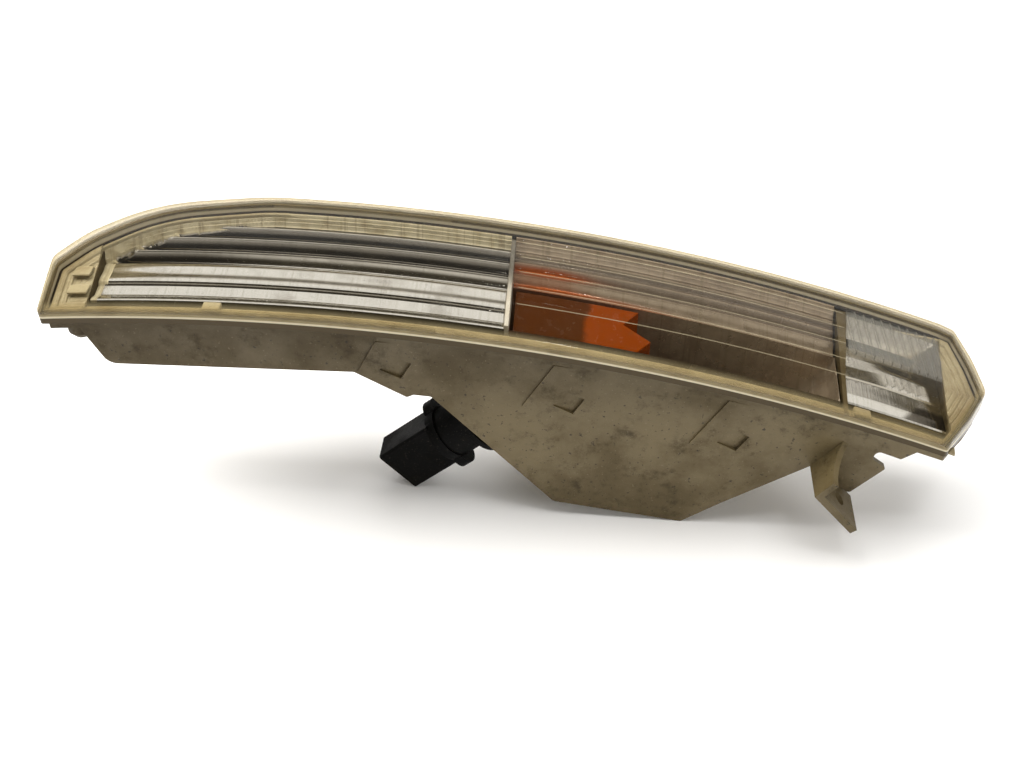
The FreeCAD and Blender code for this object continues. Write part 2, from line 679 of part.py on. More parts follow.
NODES = {
    "lens": lens(),
    "housing": housing(),
    "lens_seal": lens_seal(),
    "silver_reflector": silver_reflector(),
    "amber_reflector": amber_reflector(),
    "end_mirror": end_mirror(),
    "side_prism": side_prism(),
    "divider": divider(),
    "amber_filter": amber_filter(),
    "trim_left": end_trim(LENS_LEFT, OPENING_LEFT - FIT),
    "trim_right": end_trim(OPENING_RIGHT + FIT, LENS_TIP),
    "holder": holder(),
    "holder_seal": holder_seal(),
    "contact_left": contact(0),
    "contact_mid": contact(1),
    "contact_right": contact(2),
    "bulb_base": bulb_base(),
    "bulb_glass": bulb_glass(),
    "filament_main": filament(-2.0, 30.0),
    "filament_low": filament(2.0, 25.0),
    "filament_bridge": filament_bridge(),
    "vent_cap": vent_cap(),
}


def whole_box(shapes):
    # exact box round all the pieces
    box = FreeCAD.BoundBox()
    for shape in shapes:
        box.add(shape.optimalBoundingBox(False, False))
    return box


# The lamp rests on z = 0 with the middle of its box on the Z axis
size = whole_box(NODES.values())
origin = V((size.XMin + size.XMax) / 2, (size.YMin + size.YMax) / 2, size.ZMin)

os.makedirs("parts", exist_ok=True)
for name, shape in NODES.items():
    print(name, "valid", shape.isValid(), "solids", len(shape.Solids), "volume", round(shape.Volume))
    shape.translate(origin * -1)
    shape.exportStep("parts/" + name + ".step")
print("size", [round(v, 3) for v in (size.XLength, size.YLength, size.ZLength)])
print("origin", [round(v, 3) for v in origin])
for label, point in (("port", PORT), ("peg nose", V(PEG_X, PEG_Y, PEG_Z)), ("fixing hole", hole_centre()),
                     ("socket mouth", on_port(-SHROUD_END))):
    print(label, [round(v, 3) for v in point - origin])
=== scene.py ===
import json
import math
import bpy
import bmesh
import numpy as np
from mathutils import Matrix


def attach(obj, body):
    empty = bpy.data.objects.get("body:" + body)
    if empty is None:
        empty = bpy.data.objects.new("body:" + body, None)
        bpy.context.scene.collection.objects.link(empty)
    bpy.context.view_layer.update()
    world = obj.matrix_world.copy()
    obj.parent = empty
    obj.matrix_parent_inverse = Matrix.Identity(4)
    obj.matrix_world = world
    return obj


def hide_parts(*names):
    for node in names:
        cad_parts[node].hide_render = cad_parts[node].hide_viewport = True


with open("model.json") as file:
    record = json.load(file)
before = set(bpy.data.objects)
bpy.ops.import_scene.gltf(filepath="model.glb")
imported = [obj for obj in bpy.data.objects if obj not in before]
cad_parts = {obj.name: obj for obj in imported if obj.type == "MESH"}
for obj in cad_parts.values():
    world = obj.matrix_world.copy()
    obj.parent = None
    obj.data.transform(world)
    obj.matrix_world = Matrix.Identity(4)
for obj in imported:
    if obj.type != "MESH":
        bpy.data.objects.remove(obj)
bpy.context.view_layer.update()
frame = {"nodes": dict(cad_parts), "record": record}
print("frame loaded")

mm = 0.001
arc = {"x": -121.822, "z": -793.78, "radius": 899.0, "lean": 0.30, "shiftY": 20.5}  # the lens and its joint follow this arc
face = {"low": -21.7, "high": 39.5, "skirt": 7.5, "crown": 2.0, "wall": 2.2, "edge": 1.8}
faceCorners = np.array([  # outline of the lens: x, y, corner radius
    (-204.922, -21.7, 2.0), (183.878, -21.7, 2.0), (196.478, -4.9, 60.0), (205.378, 9.9, 5.0),
    (200.678, 24.5, 40.0), (193.878, 38.5, 3.0), (186.478, 39.5, 0.3), (-115.522, 39.5, 120.0),
    (-165.522, 32.9, 90.0), (-192.022, 17.3, 50.0), (-204.922, 4.8, 6.0)])


def liftedZ(x, y, lift):  # height over the arc: radius plus lean times y plus lift, less the fall at x
    r = arc["radius"] + arc["lean"] * (y + arc["shiftY"]) + lift
    return arc["z"] + np.sqrt(r * r - (x - arc["x"]) ** 2)


def place(x, y, lift):  # x, y and lift arrays to points in metres
    return np.stack([x, y, liftedZ(x, y, lift)], -1) * mm


def crownAt(y):  # a parabola over the lens's height, nought at both edges
    t = (y - face["low"]) / (face["high"] - face["low"])
    return 4 * face["crown"] * t * (1 - t)


def outlineRing(inset, steps=9):  # each corner moved in along its two sides, then an arc of the shrunk radius
    c = faceCorners
    side = np.roll(c[:, :2], -1, 0) - c[:, :2]
    side /= np.linalg.norm(side, axis=1)[:, None]
    inward = np.stack([-side[:, 1], side[:, 0]], 1)
    before, after = np.roll(side, 1, 0), side
    normalBefore, normalAfter = np.roll(inward, 1, 0), inward
    spread = 1 + np.sum(normalBefore * normalAfter, 1)
    corner = c[:, :2] + (normalBefore + normalAfter) / spread[:, None] * inset
    turn = np.arccos(np.clip(np.sum(before * after, 1), -1, 1))
    reach = np.maximum(c[:, 2] - inset, 0.4) * np.tan(turn / 2)
    t = np.linspace(0, 1, steps)[None, :, None]
    a, b = corner - before * reach[:, None], corner + after * reach[:, None]
    points = a[:, None] * (1 - t) ** 2 + 2 * corner[:, None] * t * (1 - t) + b[:, None] * t ** 2
    return points.reshape(-1, 2)


def chains(ring):  # lower and upper edge of a ring as (x, y) lists that run from left to right
    left, right = np.argmin(ring[:, 0] + ring[:, 1] * 1e-4), np.argmax(ring[:, 0])
    ring = np.roll(ring, -left, 0)
    right = (right - left) % len(ring)
    low, high = ring[:right + 1], np.vstack([ring[right:], ring[:1]])[::-1]
    high = high[high[:, 0] > high[0, 0] - 1e-6]
    return low, high[1:] if abs(high[0, 0] - high[1, 0]) < 1e-3 else high


def edgeDistance(x, y, ring):  # least distance inside the ring's straight pieces, exact for a convex form
    d = np.roll(ring, -1, 0) - ring
    keep = np.linalg.norm(d, axis=1) > 1e-6
    a, d = ring[keep], d[keep] / np.linalg.norm(d[keep], axis=1)[:, None]
    out = np.full(x.shape, 1e9)
    for (ax, ay), (dx, dy) in zip(a, d):
        np.minimum(out, (y - ay) * dx - (x - ax) * dy, out=out)
    return np.maximum(out, 0)


def bunched(count):  # nought to one, with the steps closing up at both ends
    return (1 - np.cos(np.linspace(0, np.pi, count))) / 2


def faceGrid(inset, columns, rows, x0=None, x1=None):  # x columns, and y rows between the ring's two edges
    low, high = chains(outlineRing(inset))
    a = max(low[0, 0], high[0, 0]) if x0 is None else x0
    b = low[-1, 0] if x1 is None else x1
    x = a + (b - a) * bunched(columns)
    yLow, yHigh = np.interp(x, low[:, 0], low[:, 1]), np.interp(x, high[:, 0], high[:, 1])
    v = bunched(rows)[None, :]
    return np.repeat(x[:, None], rows, 1), yLow[:, None] * (1 - v) + yHigh[:, None] * v


def smoothStep(v, a, b):
    t = np.clip((v - a) / (b - a), 0, 1)
    return t * t * (3 - 2 * t)


def border(columns, rows):  # indices of a grid's edge, once round, anticlockwise from above
    i = np.arange(columns * rows).reshape(columns, rows)
    return np.concatenate([i[:, 0], i[-1, 1:], i[-2::-1, -1], i[0, -2:0:-1]])


def quadsOf(index):  # the grid's quads, facing up when its first direction is x and its second y
    return np.stack([index[:-1, :-1], index[1:, :-1], index[1:, 1:], index[:-1, 1:]], -1).reshape(-1, 4)


def makeObject(name, points, faces, material, body="lamp_body", fields=None, smooth=40, merge=2e-6):
    mesh = bpy.data.meshes.new(name)
    mesh.vertices.add(len(points))
    mesh.vertices.foreach_set("co", np.asarray(points, float).ravel())
    faces = np.asarray(faces, int)
    mesh.loops.add(faces.size)
    mesh.loops.foreach_set("vertex_index", faces.ravel())
    mesh.polygons.add(len(faces))
    mesh.polygons.foreach_set("loop_start", np.arange(len(faces)) * faces.shape[1])
    mesh.update(calc_edges=True)
    for key, values in (fields or {}).items():
        mesh.attributes.new(key, "FLOAT", "POINT").data.foreach_set("value", np.asarray(values, float).ravel())
    work = bmesh.new()
    work.from_mesh(mesh)
    bmesh.ops.remove_doubles(work, verts=work.verts, dist=merge)
    bmesh.ops.dissolve_degenerate(work, edges=work.edges, dist=merge)
    work.to_mesh(mesh)
    work.free()
    mesh.shade_smooth()
    mesh.set_sharp_from_angle(angle=math.radians(smooth))
    mesh.materials.append(material)
    obj = bpy.data.objects.new(name, mesh)
    bpy.context.scene.collection.objects.link(obj)
    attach(obj, body)
    return obj


def plate(name, top, low, material, rings=(), fields=None, **more):  # two grids joined round their edges through rings
    columns, rows = top.shape[:2]
    count = columns * rows
    edge = border(columns, rows)
    index = np.arange(count).reshape(columns, rows)
    points = [top.reshape(-1, 3), low.reshape(-1, 3)] + [np.asarray(r) for r in rings]
    loops = [edge] + [2 * count + k * len(edge) + np.arange(len(edge)) for k in range(len(rings))] + [edge + count]
    faces = [quadsOf(index), quadsOf(index)[:, ::-1] + count]
    for a, b in zip(loops[:-1], loops[1:]):
        faces.append(np.stack([a, b, np.roll(b, -1), np.roll(a, -1)], -1))
    full = {k: np.concatenate([v.ravel(), v.ravel()] + [v.ravel()[edge]] * len(rings)) for k, v in (fields or {}).items()}
    return makeObject(name, np.vstack(points), np.vstack(faces), material, fields=full, **more)


def sweepRing(name, sections, material, **more):  # closed sections along a closed path: path, section, xyz
    n, k = sections.shape[:2]
    index = np.arange(n * k).reshape(n, k)
    index = np.vstack([index, index[:1]])
    index = np.hstack([index, index[:, :1]])
    return makeObject(name, sections.reshape(-1, 3), quadsOf(index), material, **more)


def turned(name, profile, foot, axis, material, count=64, **more):  # (radius, height) pairs turned round an axis
    profile = np.asarray(profile, float)
    axis = np.asarray(axis, float) / np.linalg.norm(axis)
    side = np.cross(axis, (0, 1, 0)) / np.linalg.norm(np.cross(axis, (0, 1, 0)))
    other = np.cross(axis, side)
    a = np.linspace(0, 2 * np.pi, count, endpoint=False)
    ringDirection = np.cos(a)[:, None] * side + np.sin(a)[:, None] * other
    points = np.asarray(foot) + ringDirection[:, None] * profile[None, :, :1] + axis * profile[None, :, 1:]
    index = np.arange(count * len(profile)).reshape(count, -1)
    index = np.vstack([index, index[:1]])
    return makeObject(name, points.reshape(-1, 3) * mm, quadsOf(index), material, **more)


def srgb(r, g, b):  # a colour on the usual 0 to 255 scale, turned linear
    v = np.array([r, g, b]) / 255
    return (*np.where(v < .04045, v / 12.92, ((v + .055) / 1.055) ** 2.4), 1.0)


def startMaterial(name):
    material = bpy.data.materials.new(name)
    material.use_nodes = True
    tree = material.node_tree
    tree.nodes.clear()
    return material, tree, tree.nodes.new("ShaderNodeTexCoord").outputs["Object"]


def addNode(tree, kind, inputs=None, **settings):
    node = tree.nodes.new(kind)
    for key, value in settings.items():
        setattr(node, key, value)
    for key, value in (inputs or {}).items():
        if isinstance(value, bpy.types.NodeSocket):
            tree.links.new(value, node.inputs[key])
        else:
            node.inputs[key].default_value = value
    return node


def stretched(tree, where, x=1, y=1, z=1, turn=(0, 0, 0)):
    return addNode(tree, "ShaderNodeMapping", {"Vector": where, "Scale": (x, y, z), "Rotation": turn}).outputs[0]


def cloudy(tree, where, scale, detail=5, rough=.55, warp=0):
    return addNode(tree, "ShaderNodeTexNoise", {
        "Vector": where, "Scale": scale, "Detail": detail, "Roughness": rough, "Distortion": warp}).outputs[0]


def between(tree, value, low, high, a=0.0, b=1.0):
    return addNode(tree, "ShaderNodeMapRange", {"Value": value, "From Min": low, "From Max": high, "To Min": a, "To Max": b},
                   interpolation_type="SMOOTHSTEP").outputs[0]


def sums(tree, how, a, b=0.0):
    return addNode(tree, "ShaderNodeMath", {0: a, 1: b}, operation=how).outputs[0]


def mixed(tree, factor, a, b):
    return addNode(tree, "ShaderNodeMix", {0: factor, 6: a, 7: b}, data_type="RGBA").outputs[2]


def raised(tree, height, far):
    return addNode(tree, "ShaderNodeBump", {"Height": height, "Distance": far, "Strength": 1.0}).outputs[0]


def field(tree, name):
    return addNode(tree, "ShaderNodeAttribute", attribute_name=name).outputs["Fac"]


def ended(material, tree, shader):
    addNode(tree, "ShaderNodeOutputMaterial", {"Surface": shader})
    return material


def grimyPlastic(name, look):  # moulded plastic with blotches, specks of dirt, scuffs, a fine grain, and painted shade that changes with height
    material, tree, where = startMaterial(name)
    blotch = between(tree, cloudy(tree, where, look["blotches"], 8, .62), .36, .64)
    stain = between(tree, cloudy(tree, where, look["stains"], 10, .74), .50, .72)
    speck = between(tree, cloudy(tree, where, look["specks"], 3, .6), .63, .72)
    height = addNode(tree, "ShaderNodeSeparateXYZ", {"Vector": where}).outputs["Z"]
    # painted shade: the colour darkens with height, towards the tint that also serves for stains
    low = between(tree, height, look["darkTo"], look["darkFrom"])
    colour = mixed(tree, sums(tree, "MULTIPLY", blotch, look["blotchy"]), look["base"], look["second"])
    colour = mixed(tree, sums(tree, "MULTIPLY", low, look["heightShade"]), colour, look["dirtAndShade"])
    colour = mixed(tree, sums(tree, "MULTIPLY", stain, look["stained"]), colour, look["dirtAndShade"])
    colour = mixed(tree, sums(tree, "MULTIPLY", speck, look["specked"]), colour, look["speckTint"])
    rub = between(tree, cloudy(tree, stretched(tree, where, 1, 6, 1, (.3, .2, .5)), 900, 2, .5), .66, .74)
    colour = mixed(tree, sums(tree, "MULTIPLY", rub, look["rubbed"]), colour, look["rubTint"])
    rough = between(tree, sums(tree, "ADD", blotch, stain), 0, 1.4, *look["gloss"])
    grain = sums(tree, "ADD", cloudy(tree, where, 2600, 3, .6), sums(tree, "MULTIPLY", stain, .8))
    shader = addNode(tree, "ShaderNodeBsdfPrincipled", {
        "Base Color": colour, "Roughness": rough, "Specular IOR Level": look["shine"],
        "Normal": raised(tree, grain, look["grain"])})
    return ended(material, tree, shader.outputs[0])


# the housing's height shade is painted shade, darker towards the top of its wall under the lens rim
housingLook = {
    "base": srgb(104, 91, 62), "second": srgb(80, 68, 43), "dirtAndShade": srgb(40, 31, 16), "speckTint": srgb(36, 30, 21),
    "rubTint": srgb(138, 126, 100), "blotches": 22, "stains": 70, "specks": 520, "blotchy": .95, "stained": .75, "specked": .85,
    "rubbed": .25, "heightShade": .5, "darkFrom": .108, "darkTo": .045, "gloss": (.48, .78), "shine": .35, "grain": .00009}
holderLook = {
    "base": srgb(5, 5, 5), "second": srgb(8, 8, 7), "dirtAndShade": srgb(40, 36, 30), "speckTint": srgb(70, 64, 54),
    "rubTint": srgb(40, 39, 37), "blotches": 40, "stains": 110, "specks": 900, "blotchy": .6, "stained": .25, "specked": .35,
    "rubbed": .6, "heightShade": .1, "darkFrom": .0, "darkTo": .02, "gloss": (.42, .65), "shine": .05, "grain": .00006}
trimLook = {
    "base": srgb(164, 153, 122), "second": srgb(134, 121, 90), "dirtAndShade": srgb(110, 88, 56), "speckTint": srgb(92, 72, 46),
    "rubTint": srgb(214, 203, 174), "blotches": 60, "stains": 160, "specks": 900, "blotchy": .7, "stained": .5, "specked": .5,
    "rubbed": .5, "heightShade": .2, "darkFrom": .05, "darkTo": .09, "gloss": (.28, .5), "shine": .5, "grain": .00004}
sealLook = {
    "base": srgb(52, 46, 38), "second": srgb(34, 30, 25), "dirtAndShade": srgb(88, 74, 54), "speckTint": srgb(110, 94, 68),
    "rubTint": srgb(70, 64, 54), "blotches": 90, "stains": 220, "specks": 1200, "blotchy": .8, "stained": .5, "specked": .4,
    "rubbed": .3, "heightShade": .1, "darkFrom": .0, "darkTo": .02, "gloss": (.6, .8), "shine": .3, "grain": .00012}
footLook = dict(trimLook, base=srgb(206, 202, 192), second=srgb(184, 178, 164), blotchy=.4, stained=.2)
housingPlastic = grimyPlastic("agedHousingPlastic", housingLook)
holderPlastic = grimyPlastic("blackHolderPlastic", holderLook)
trimPlastic = grimyPlastic("yellowedTrim", trimLook)
sealRubber = grimyPlastic("sealRubber", sealLook)
footPlastic = grimyPlastic("bulbFoot", footLook)


def clearPlastic(name, look):  # see-through by a share, with a glossy skin, dust, and milk near the rim
    material, tree, where = startMaterial(name)
    rim = between(tree, field(tree, "edgeOrLineDistance"), look["milkTo"], look["milkFrom"])
    side = between(tree, field(tree, "skirt"), .3, .7)
    cloud = between(tree, cloudy(tree, where, 55, 6, .62, .5), .45, .75)
    dust = between(tree, cloudy(tree, where, 1500, 4, .6), .60, .74)
    milk = sums(tree, "ADD", sums(tree, "MULTIPLY", rim, look["rimMilk"]), sums(tree, "MULTIPLY", side, look["skirtMilk"]))
    milk = sums(tree, "ADD", milk, sums(tree, "MULTIPLY", cloud, look["cloud"]))
    milk = sums(tree, "ADD", milk, sums(tree, "MULTIPLY", dust, look["dust"]))
    milk = addNode(tree, "ShaderNodeMath", {0: milk, 1: look["haze"]}, operation="ADD", use_clamp=True).outputs[0]
    tint = mixed(tree, sums(tree, "ADD", rim, side), look["tint"], look["rimTint"])
    clear = addNode(tree, "ShaderNodeBsdfTransparent", {"Color": tint}).outputs[0]
    milkColour = mixed(tree, cloud, look["milkTint"], look["milkSecond"])
    foot = field(tree, "foot")  # up to a half it draws a line, a painted highlight on the lens and painted shade on the ridged clear, and above that the skirt's dark foot
    footColour = mixed(tree, dust, look["footTint"], look["footDust"])
    milkColour = mixed(tree, between(tree, foot, .25, .45), milkColour, look["lineTint"])
    milkColour = mixed(tree, between(tree, foot, .60, .75), milkColour, footColour)
    solid = between(tree, foot, .2, .5, 0, look["lineMilk"])
    milk = addNode(tree, "ShaderNodeMath", {0: milk, 1: solid}, operation="ADD", use_clamp=True).outputs[0]
    milky = addNode(tree, "ShaderNodeBsdfDiffuse", {"Color": milkColour}).outputs[0]
    body = addNode(tree, "ShaderNodeMixShader", {0: milk, 1: clear, 2: milky}).outputs[0]
    scratch = between(tree, cloudy(tree, stretched(tree, where, 1, 9, 1, (0, 0, .35)), 420, 2, .5), .62, .70)
    rough = between(tree, sums(tree, "ADD", scratch, dust), 0, 1, *look["gloss"])
    ripple = raised(tree, cloudy(tree, where, 90, 2, .5), look["wave"])
    gloss = addNode(tree, "ShaderNodeBsdfAnisotropic", {"Color": (1, 1, 1, 1), "Roughness": rough, "Normal": ripple}).outputs[0]
    facing = addNode(tree, "ShaderNodeLayerWeight", {"Blend": .5}).outputs["Facing"]  # the same from both sides
    skin = addNode(tree, "ShaderNodeMath", {0: sums(tree, "POWER", facing, 4.0), 1: look["edgeShine"], 2: look["shine"]},
                   operation="MULTIPLY_ADD").outputs[0]
    return ended(material, tree, addNode(tree, "ShaderNodeMixShader", {0: skin, 1: body, 2: gloss}).outputs[0])


lensLook = {
    "tint": srgb(254, 253, 251), "rimTint": srgb(246, 238, 218),
    "milkTint": srgb(146, 133, 101), "milkSecond": srgb(116, 102, 73),
    "milkFrom": .6, "milkTo": 4.5, "rimMilk": .42, "skirtMilk": .40, "cloud": .012, "dust": .03, "haze": 0,
    "gloss": (.04, .16), "wave": .00006, "shine": .014, "edgeShine": .6,
    # the line tint is a painted highlight along the skirt's rim edge and on the flutes' tips
    "footTint": srgb(70, 59, 40), "footDust": srgb(60, 50, 36), "lineTint": srgb(196, 186, 160), "lineMilk": .75}
# the ridged clear's rim tint and line tint paint dark lines along its ridges, a painted shade
prismLook = dict(
    lensLook, rimMilk=0, skirtMilk=0, cloud=.14, haze=.10, dust=.12, lineTint=srgb(92, 82, 62), rimTint=srgb(120, 111, 94),
    milkTint=srgb(196, 196, 190), milkSecond=srgb(160, 160, 154))
bulbLook = dict(
    lensLook, rimMilk=0, skirtMilk=0, cloud=.02, haze=.02, dust=.02, tint=srgb(244, 244, 240), gloss=(.02, .08))
clearLens = clearPlastic("clearLens", lensLook)
prismClear = clearPlastic("ridgedClear", prismLook)
bulbClear = clearPlastic("bulbGlass", bulbLook)


def mirrorCoat(name, look):  # bright coat with draw lines and dull patches, plastic where the bare field is one, and painted shade and a painted amber reflection laid on from two more fields
    material, tree, where = startMaterial(name)
    lines = cloudy(tree, stretched(tree, where, 1, .03, .03), look["lines"], 3, .6)
    dull = between(tree, cloudy(tree, where, 40, 6, .6, .6), .46, .72)
    spot = between(tree, cloudy(tree, where, 800, 3, .6), .66, .74)
    colour = mixed(tree, sums(tree, "MULTIPLY", dull, look["dulled"]), look["bright"], look["dull"])
    colour = mixed(tree, between(tree, lines, .45, .75, 0, look["lined"]), colour, look["lineTint"])
    colour = mixed(tree, sums(tree, "MULTIPLY", spot, look["spotted"]), colour, look["spotTint"])
    rough = sums(tree, "ADD", between(tree, dull, 0, 1, *look["gloss"]), sums(tree, "MULTIPLY", spot, .2))
    ripple = sums(tree, "ADD", sums(tree, "MULTIPLY", lines, look["drawn"]), cloudy(tree, where, 70, 3, .5))
    # painted shade, then a painted reflection of the amber filter, over the coat
    shade = field(tree, "shade")
    colour = mixed(tree, shade, colour, look["shadeTint"])
    colour = mixed(tree, field(tree, "amberReflection"), colour, look["amberReflectionTint"])
    coat = addNode(tree, "ShaderNodeBsdfPrincipled", {
        "Base Color": colour, "Metallic": 1.0, "Roughness": rough, "Normal": raised(tree, ripple, look["wave"])}).outputs[0]
    bareTint = mixed(tree, between(tree, cloudy(tree, where, 140, 6, .6), .4, .7), look["bareTint"], look["bareSecond"])
    ticks = between(tree, cloudy(tree, stretched(tree, where, 1, .02, .02), 620, 2, .5), .58, .66, 0, .4)
    bareTint = mixed(tree, ticks, bareTint, look["tickTint"])
    # the same painted shade and painted amber reflection over the bare plastic
    bareTint = mixed(tree, shade, bareTint, look["shadeTint"])
    bareTint = mixed(tree, field(tree, "amberReflection"), bareTint, look["amberReflectionTint"])
    bare = addNode(tree, "ShaderNodeBsdfPrincipled", {"Base Color": bareTint, "Roughness": .42}).outputs[0]
    worn = sums(tree, "ADD", field(tree, "bare"), sums(tree, "MULTIPLY", sums(tree, "SUBTRACT", dull, .5), .12))
    share = between(tree, worn, .3, .7, look["plain"], 1)
    return ended(material, tree, addNode(tree, "ShaderNodeMixShader", {0: share, 1: coat, 2: bare}).outputs[0])


silverLook = {
    "bright": srgb(230, 228, 223), "dull": srgb(182, 176, 165), "lineTint": srgb(190, 186, 174), "spotTint": srgb(96, 84, 64),
    "bareTint": srgb(178, 168, 138), "bareSecond": srgb(150, 138, 106), "tickTint": srgb(104, 92, 66),
    "amberReflectionTint": srgb(140, 64, 12), "shadeTint": srgb(104, 99, 91),
    "lines": 1100, "lined": .3, "dulled": .35, "spotted": .5, "gloss": (.10, .24), "drawn": .6, "wave": .00007, "plain": .04}
# the right chamber's coat is tinted brown as a painted reflection of a brown room
brownReflectionLook = dict(
    silverLook, bright=srgb(188, 175, 158), dull=srgb(152, 138, 120), lineTint=srgb(158, 144, 126), gloss=(.2, .36),
    bareTint=srgb(148, 133, 112), bareSecond=srgb(124, 109, 90), shadeTint=srgb(92, 80, 68), plain=.5)
dividerLook = dict(
    silverLook, bright=srgb(92, 86, 76), dull=srgb(70, 64, 54), bareTint=srgb(190, 184, 170), bareSecond=srgb(180, 172, 154),
    plain=.2)
silverCoat = mirrorCoat("silverCoat", silverLook)
brownReflectionCoat = mirrorCoat("brownReflectionCoat", brownReflectionLook)


def amberPlastic(look):  # painted light: deep amber by the divider, painted bright towards its right end where light comes through
    material, tree, where = startMaterial("amberPlastic")
    along = addNode(tree, "ShaderNodeSeparateXYZ", {"Vector": where}).outputs["X"]
    along = sums(tree, "ADD", along, between(tree, cloudy(tree, where, 60, 4, .6), .3, .7, -.0015, .0015))
    colour = mixed(tree, between(tree, along, look["darkTo"], look["brightFrom"]), look["dark"], look["bright"])
    colour = mixed(tree, between(tree, cloudy(tree, where, 300, 4, .6), .55, .75, 0, .4), colour, look["dusty"])
    # the faint emission is painted light, a glow though the amber is no lamp
    shader = addNode(tree, "ShaderNodeBsdfPrincipled", {
        "Base Color": colour, "Roughness": between(tree, cloudy(tree, where, 220, 4, .6), .4, .7, *look["gloss"]),
        "Emission Color": colour, "Emission Strength": look["lit"], "Specular IOR Level": look["shine"],
        "Normal": raised(tree, cloudy(tree, where, 120, 2, .5), .0001)}).outputs[0]
    return ended(material, tree, shader)


amberLook = {
    "dark": srgb(64, 32, 8), "bright": srgb(112, 47, 2), "dusty": srgb(90, 52, 20), "darkTo": .025, "brightFrom": .028,
    "gloss": (.12, .3), "shine": .2, "lit": .02}
amberClear = amberPlastic(amberLook)


def plainMetal(name, look):  # a rubbed metal with a brushed grain
    material, tree, where = startMaterial(name)
    grain = cloudy(tree, stretched(tree, where, 1, 1, .1), look["grain"], 4, .6)
    stain = between(tree, cloudy(tree, where, 260, 5, .6), .5, .72)
    colour = mixed(tree, sums(tree, "MULTIPLY", stain, .6), look["tint"], look["stain"])
    shader = addNode(tree, "ShaderNodeBsdfPrincipled", {
        "Base Color": colour, "Metallic": 1.0, "Roughness": between(tree, grain, .3, .7, *look["gloss"]),
        "Normal": raised(tree, grain, .00002)}).outputs[0]
    return ended(material, tree, shader)


bladeLook = {"tint": srgb(206, 200, 186), "stain": srgb(140, 122, 92), "grain": 900, "gloss": (.22, .42)}
wireLook = {"tint": srgb(120, 120, 124), "stain": srgb(70, 72, 80), "grain": 2000, "gloss": (.3, .5)}
tinnedMetal = plainMetal("tinnedBlade", bladeLook)
wireMetal = plainMetal("filamentWire", wireLook)
print("materials made")


lensShape = {
    "columns": 300, "rows": 70, "underLow": -19.5, "underHigh": 37.3, "underRound": .5,
    "flutes": (-2.5, 5.5, 13.5, 21.5, 29.5), "fluteDeep": .9, "fluteWide": 1.1, "fluteStart": -6, "fluteEnd": 140.5,
    "skirtRows": (4.4, 3.6, 3.0, 2.4, 1.2, 0), "footTop": 2.4, "footHeights": (0, 2.4, 3.0, 3.6, 4.4),
    "footPaint": (1.0, 1.0, .5, .45, 0.0), "tipPaint": .43, "tipWide": .6}


def roundedDrop(d, r):  # how far a quarter round of radius r lies below its top at distance d from the edge
    near = np.minimum(d, r)
    return r - np.sqrt(np.maximum(r * r - (r - near) ** 2, 0))


def clippedGrid(x, rows, inset):  # columns at x, rows held under the outline's upper edge
    low, high = chains(outlineRing(inset))
    top = np.interp(x, high[:, 0], high[:, 1])
    bottom = np.interp(x, low[:, 0], low[:, 1])
    y = np.clip(rows[None, :], bottom[:, None], top[:, None])
    return np.repeat(x[:, None], len(rows), 1), y


def lensCover():
    s = lensShape
    x, y = faceGrid(0, s["columns"], s["rows"])
    d = edgeDistance(x, y, outlineRing(0))
    lift = face["skirt"] + crownAt(y) - roundedDrop(d, face["edge"])
    flutes = np.array(s["flutes"])
    ridges = flutes[:, None] + s["fluteWide"] * np.array([-1, -.5, 0, .5, 1])
    rows = np.sort(np.concatenate([np.linspace(s["underLow"], s["underHigh"], s["rows"] - ridges.size), ridges.ravel()]))
    u, v = clippedGrid(faceGrid(face["wall"], s["columns"], 2)[0][:, 0], rows, face["wall"])
    ceiling = face["skirt"] - face["wall"]
    under = ceiling + crownAt(v) - roundedDrop(edgeDistance(u, v, outlineRing(face["wall"])), s["underRound"])
    inside = smoothStep(u, s["fluteStart"], s["fluteStart"] + 2) * smoothStep(-u, -s["fluteEnd"] - 3, -s["fluteEnd"])
    for ridge in s["flutes"]:  # each flute is a low peak under the face of the right chamber
        under = under - inside * s["fluteDeep"] * np.clip(1 - np.abs(v - ridge) / s["fluteWide"], 0, 1)
    edge = border(*x.shape)
    ex, ey, one = x.ravel()[edge], y.ravel()[edge], np.ones(len(edge))
    skirtRings = [place(ex, ey, h * one) for h in s["skirtRows"]] + [place(u.ravel()[edge], v.ravel()[edge], 0 * one)]
    blank = {key: np.zeros(x.shape) for key in ("edgeOrLineDistance", "skirt", "foot")}
    obj = plate("lensCover", place(x, y, lift), place(u, v, under), clearLens, rings=skirtRings, fields=blank, smooth=35)
    corners = np.empty(len(obj.data.vertices) * 3)
    obj.data.vertices.foreach_get("co", corners)
    px, py, pz = (corners.reshape(-1, 3) / mm).T
    rise = pz - liftedZ(px, py, 0)
    near = np.min(np.abs(py[:, None] - flutes), axis=1)
    below = (rise > s["footHeights"][-1]) & (rise < ceiling + crownAt(py) + .3)
    below &= (px > s["fluteStart"] + 1) & (px < s["fluteEnd"])
    foot = np.interp(rise, s["footHeights"], s["footPaint"])
    tips = s["tipPaint"] * np.clip(1.1 - near / s["tipWide"], 0, 1)  # painted highlight where the flutes' tips catch the light
    painted = {"skirt": np.where(rise < face["skirt"] - s["footTop"], 1.0, 0.0),
               "edgeOrLineDistance": edgeDistance(px, py, outlineRing(0)),
               "foot": np.where(below, np.maximum(foot, tips), foot)}
    for key, values in painted.items():
        obj.data.attributes[key].data.foreach_set("value", values)
    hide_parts("lens")


lensCover()
print("lens made")


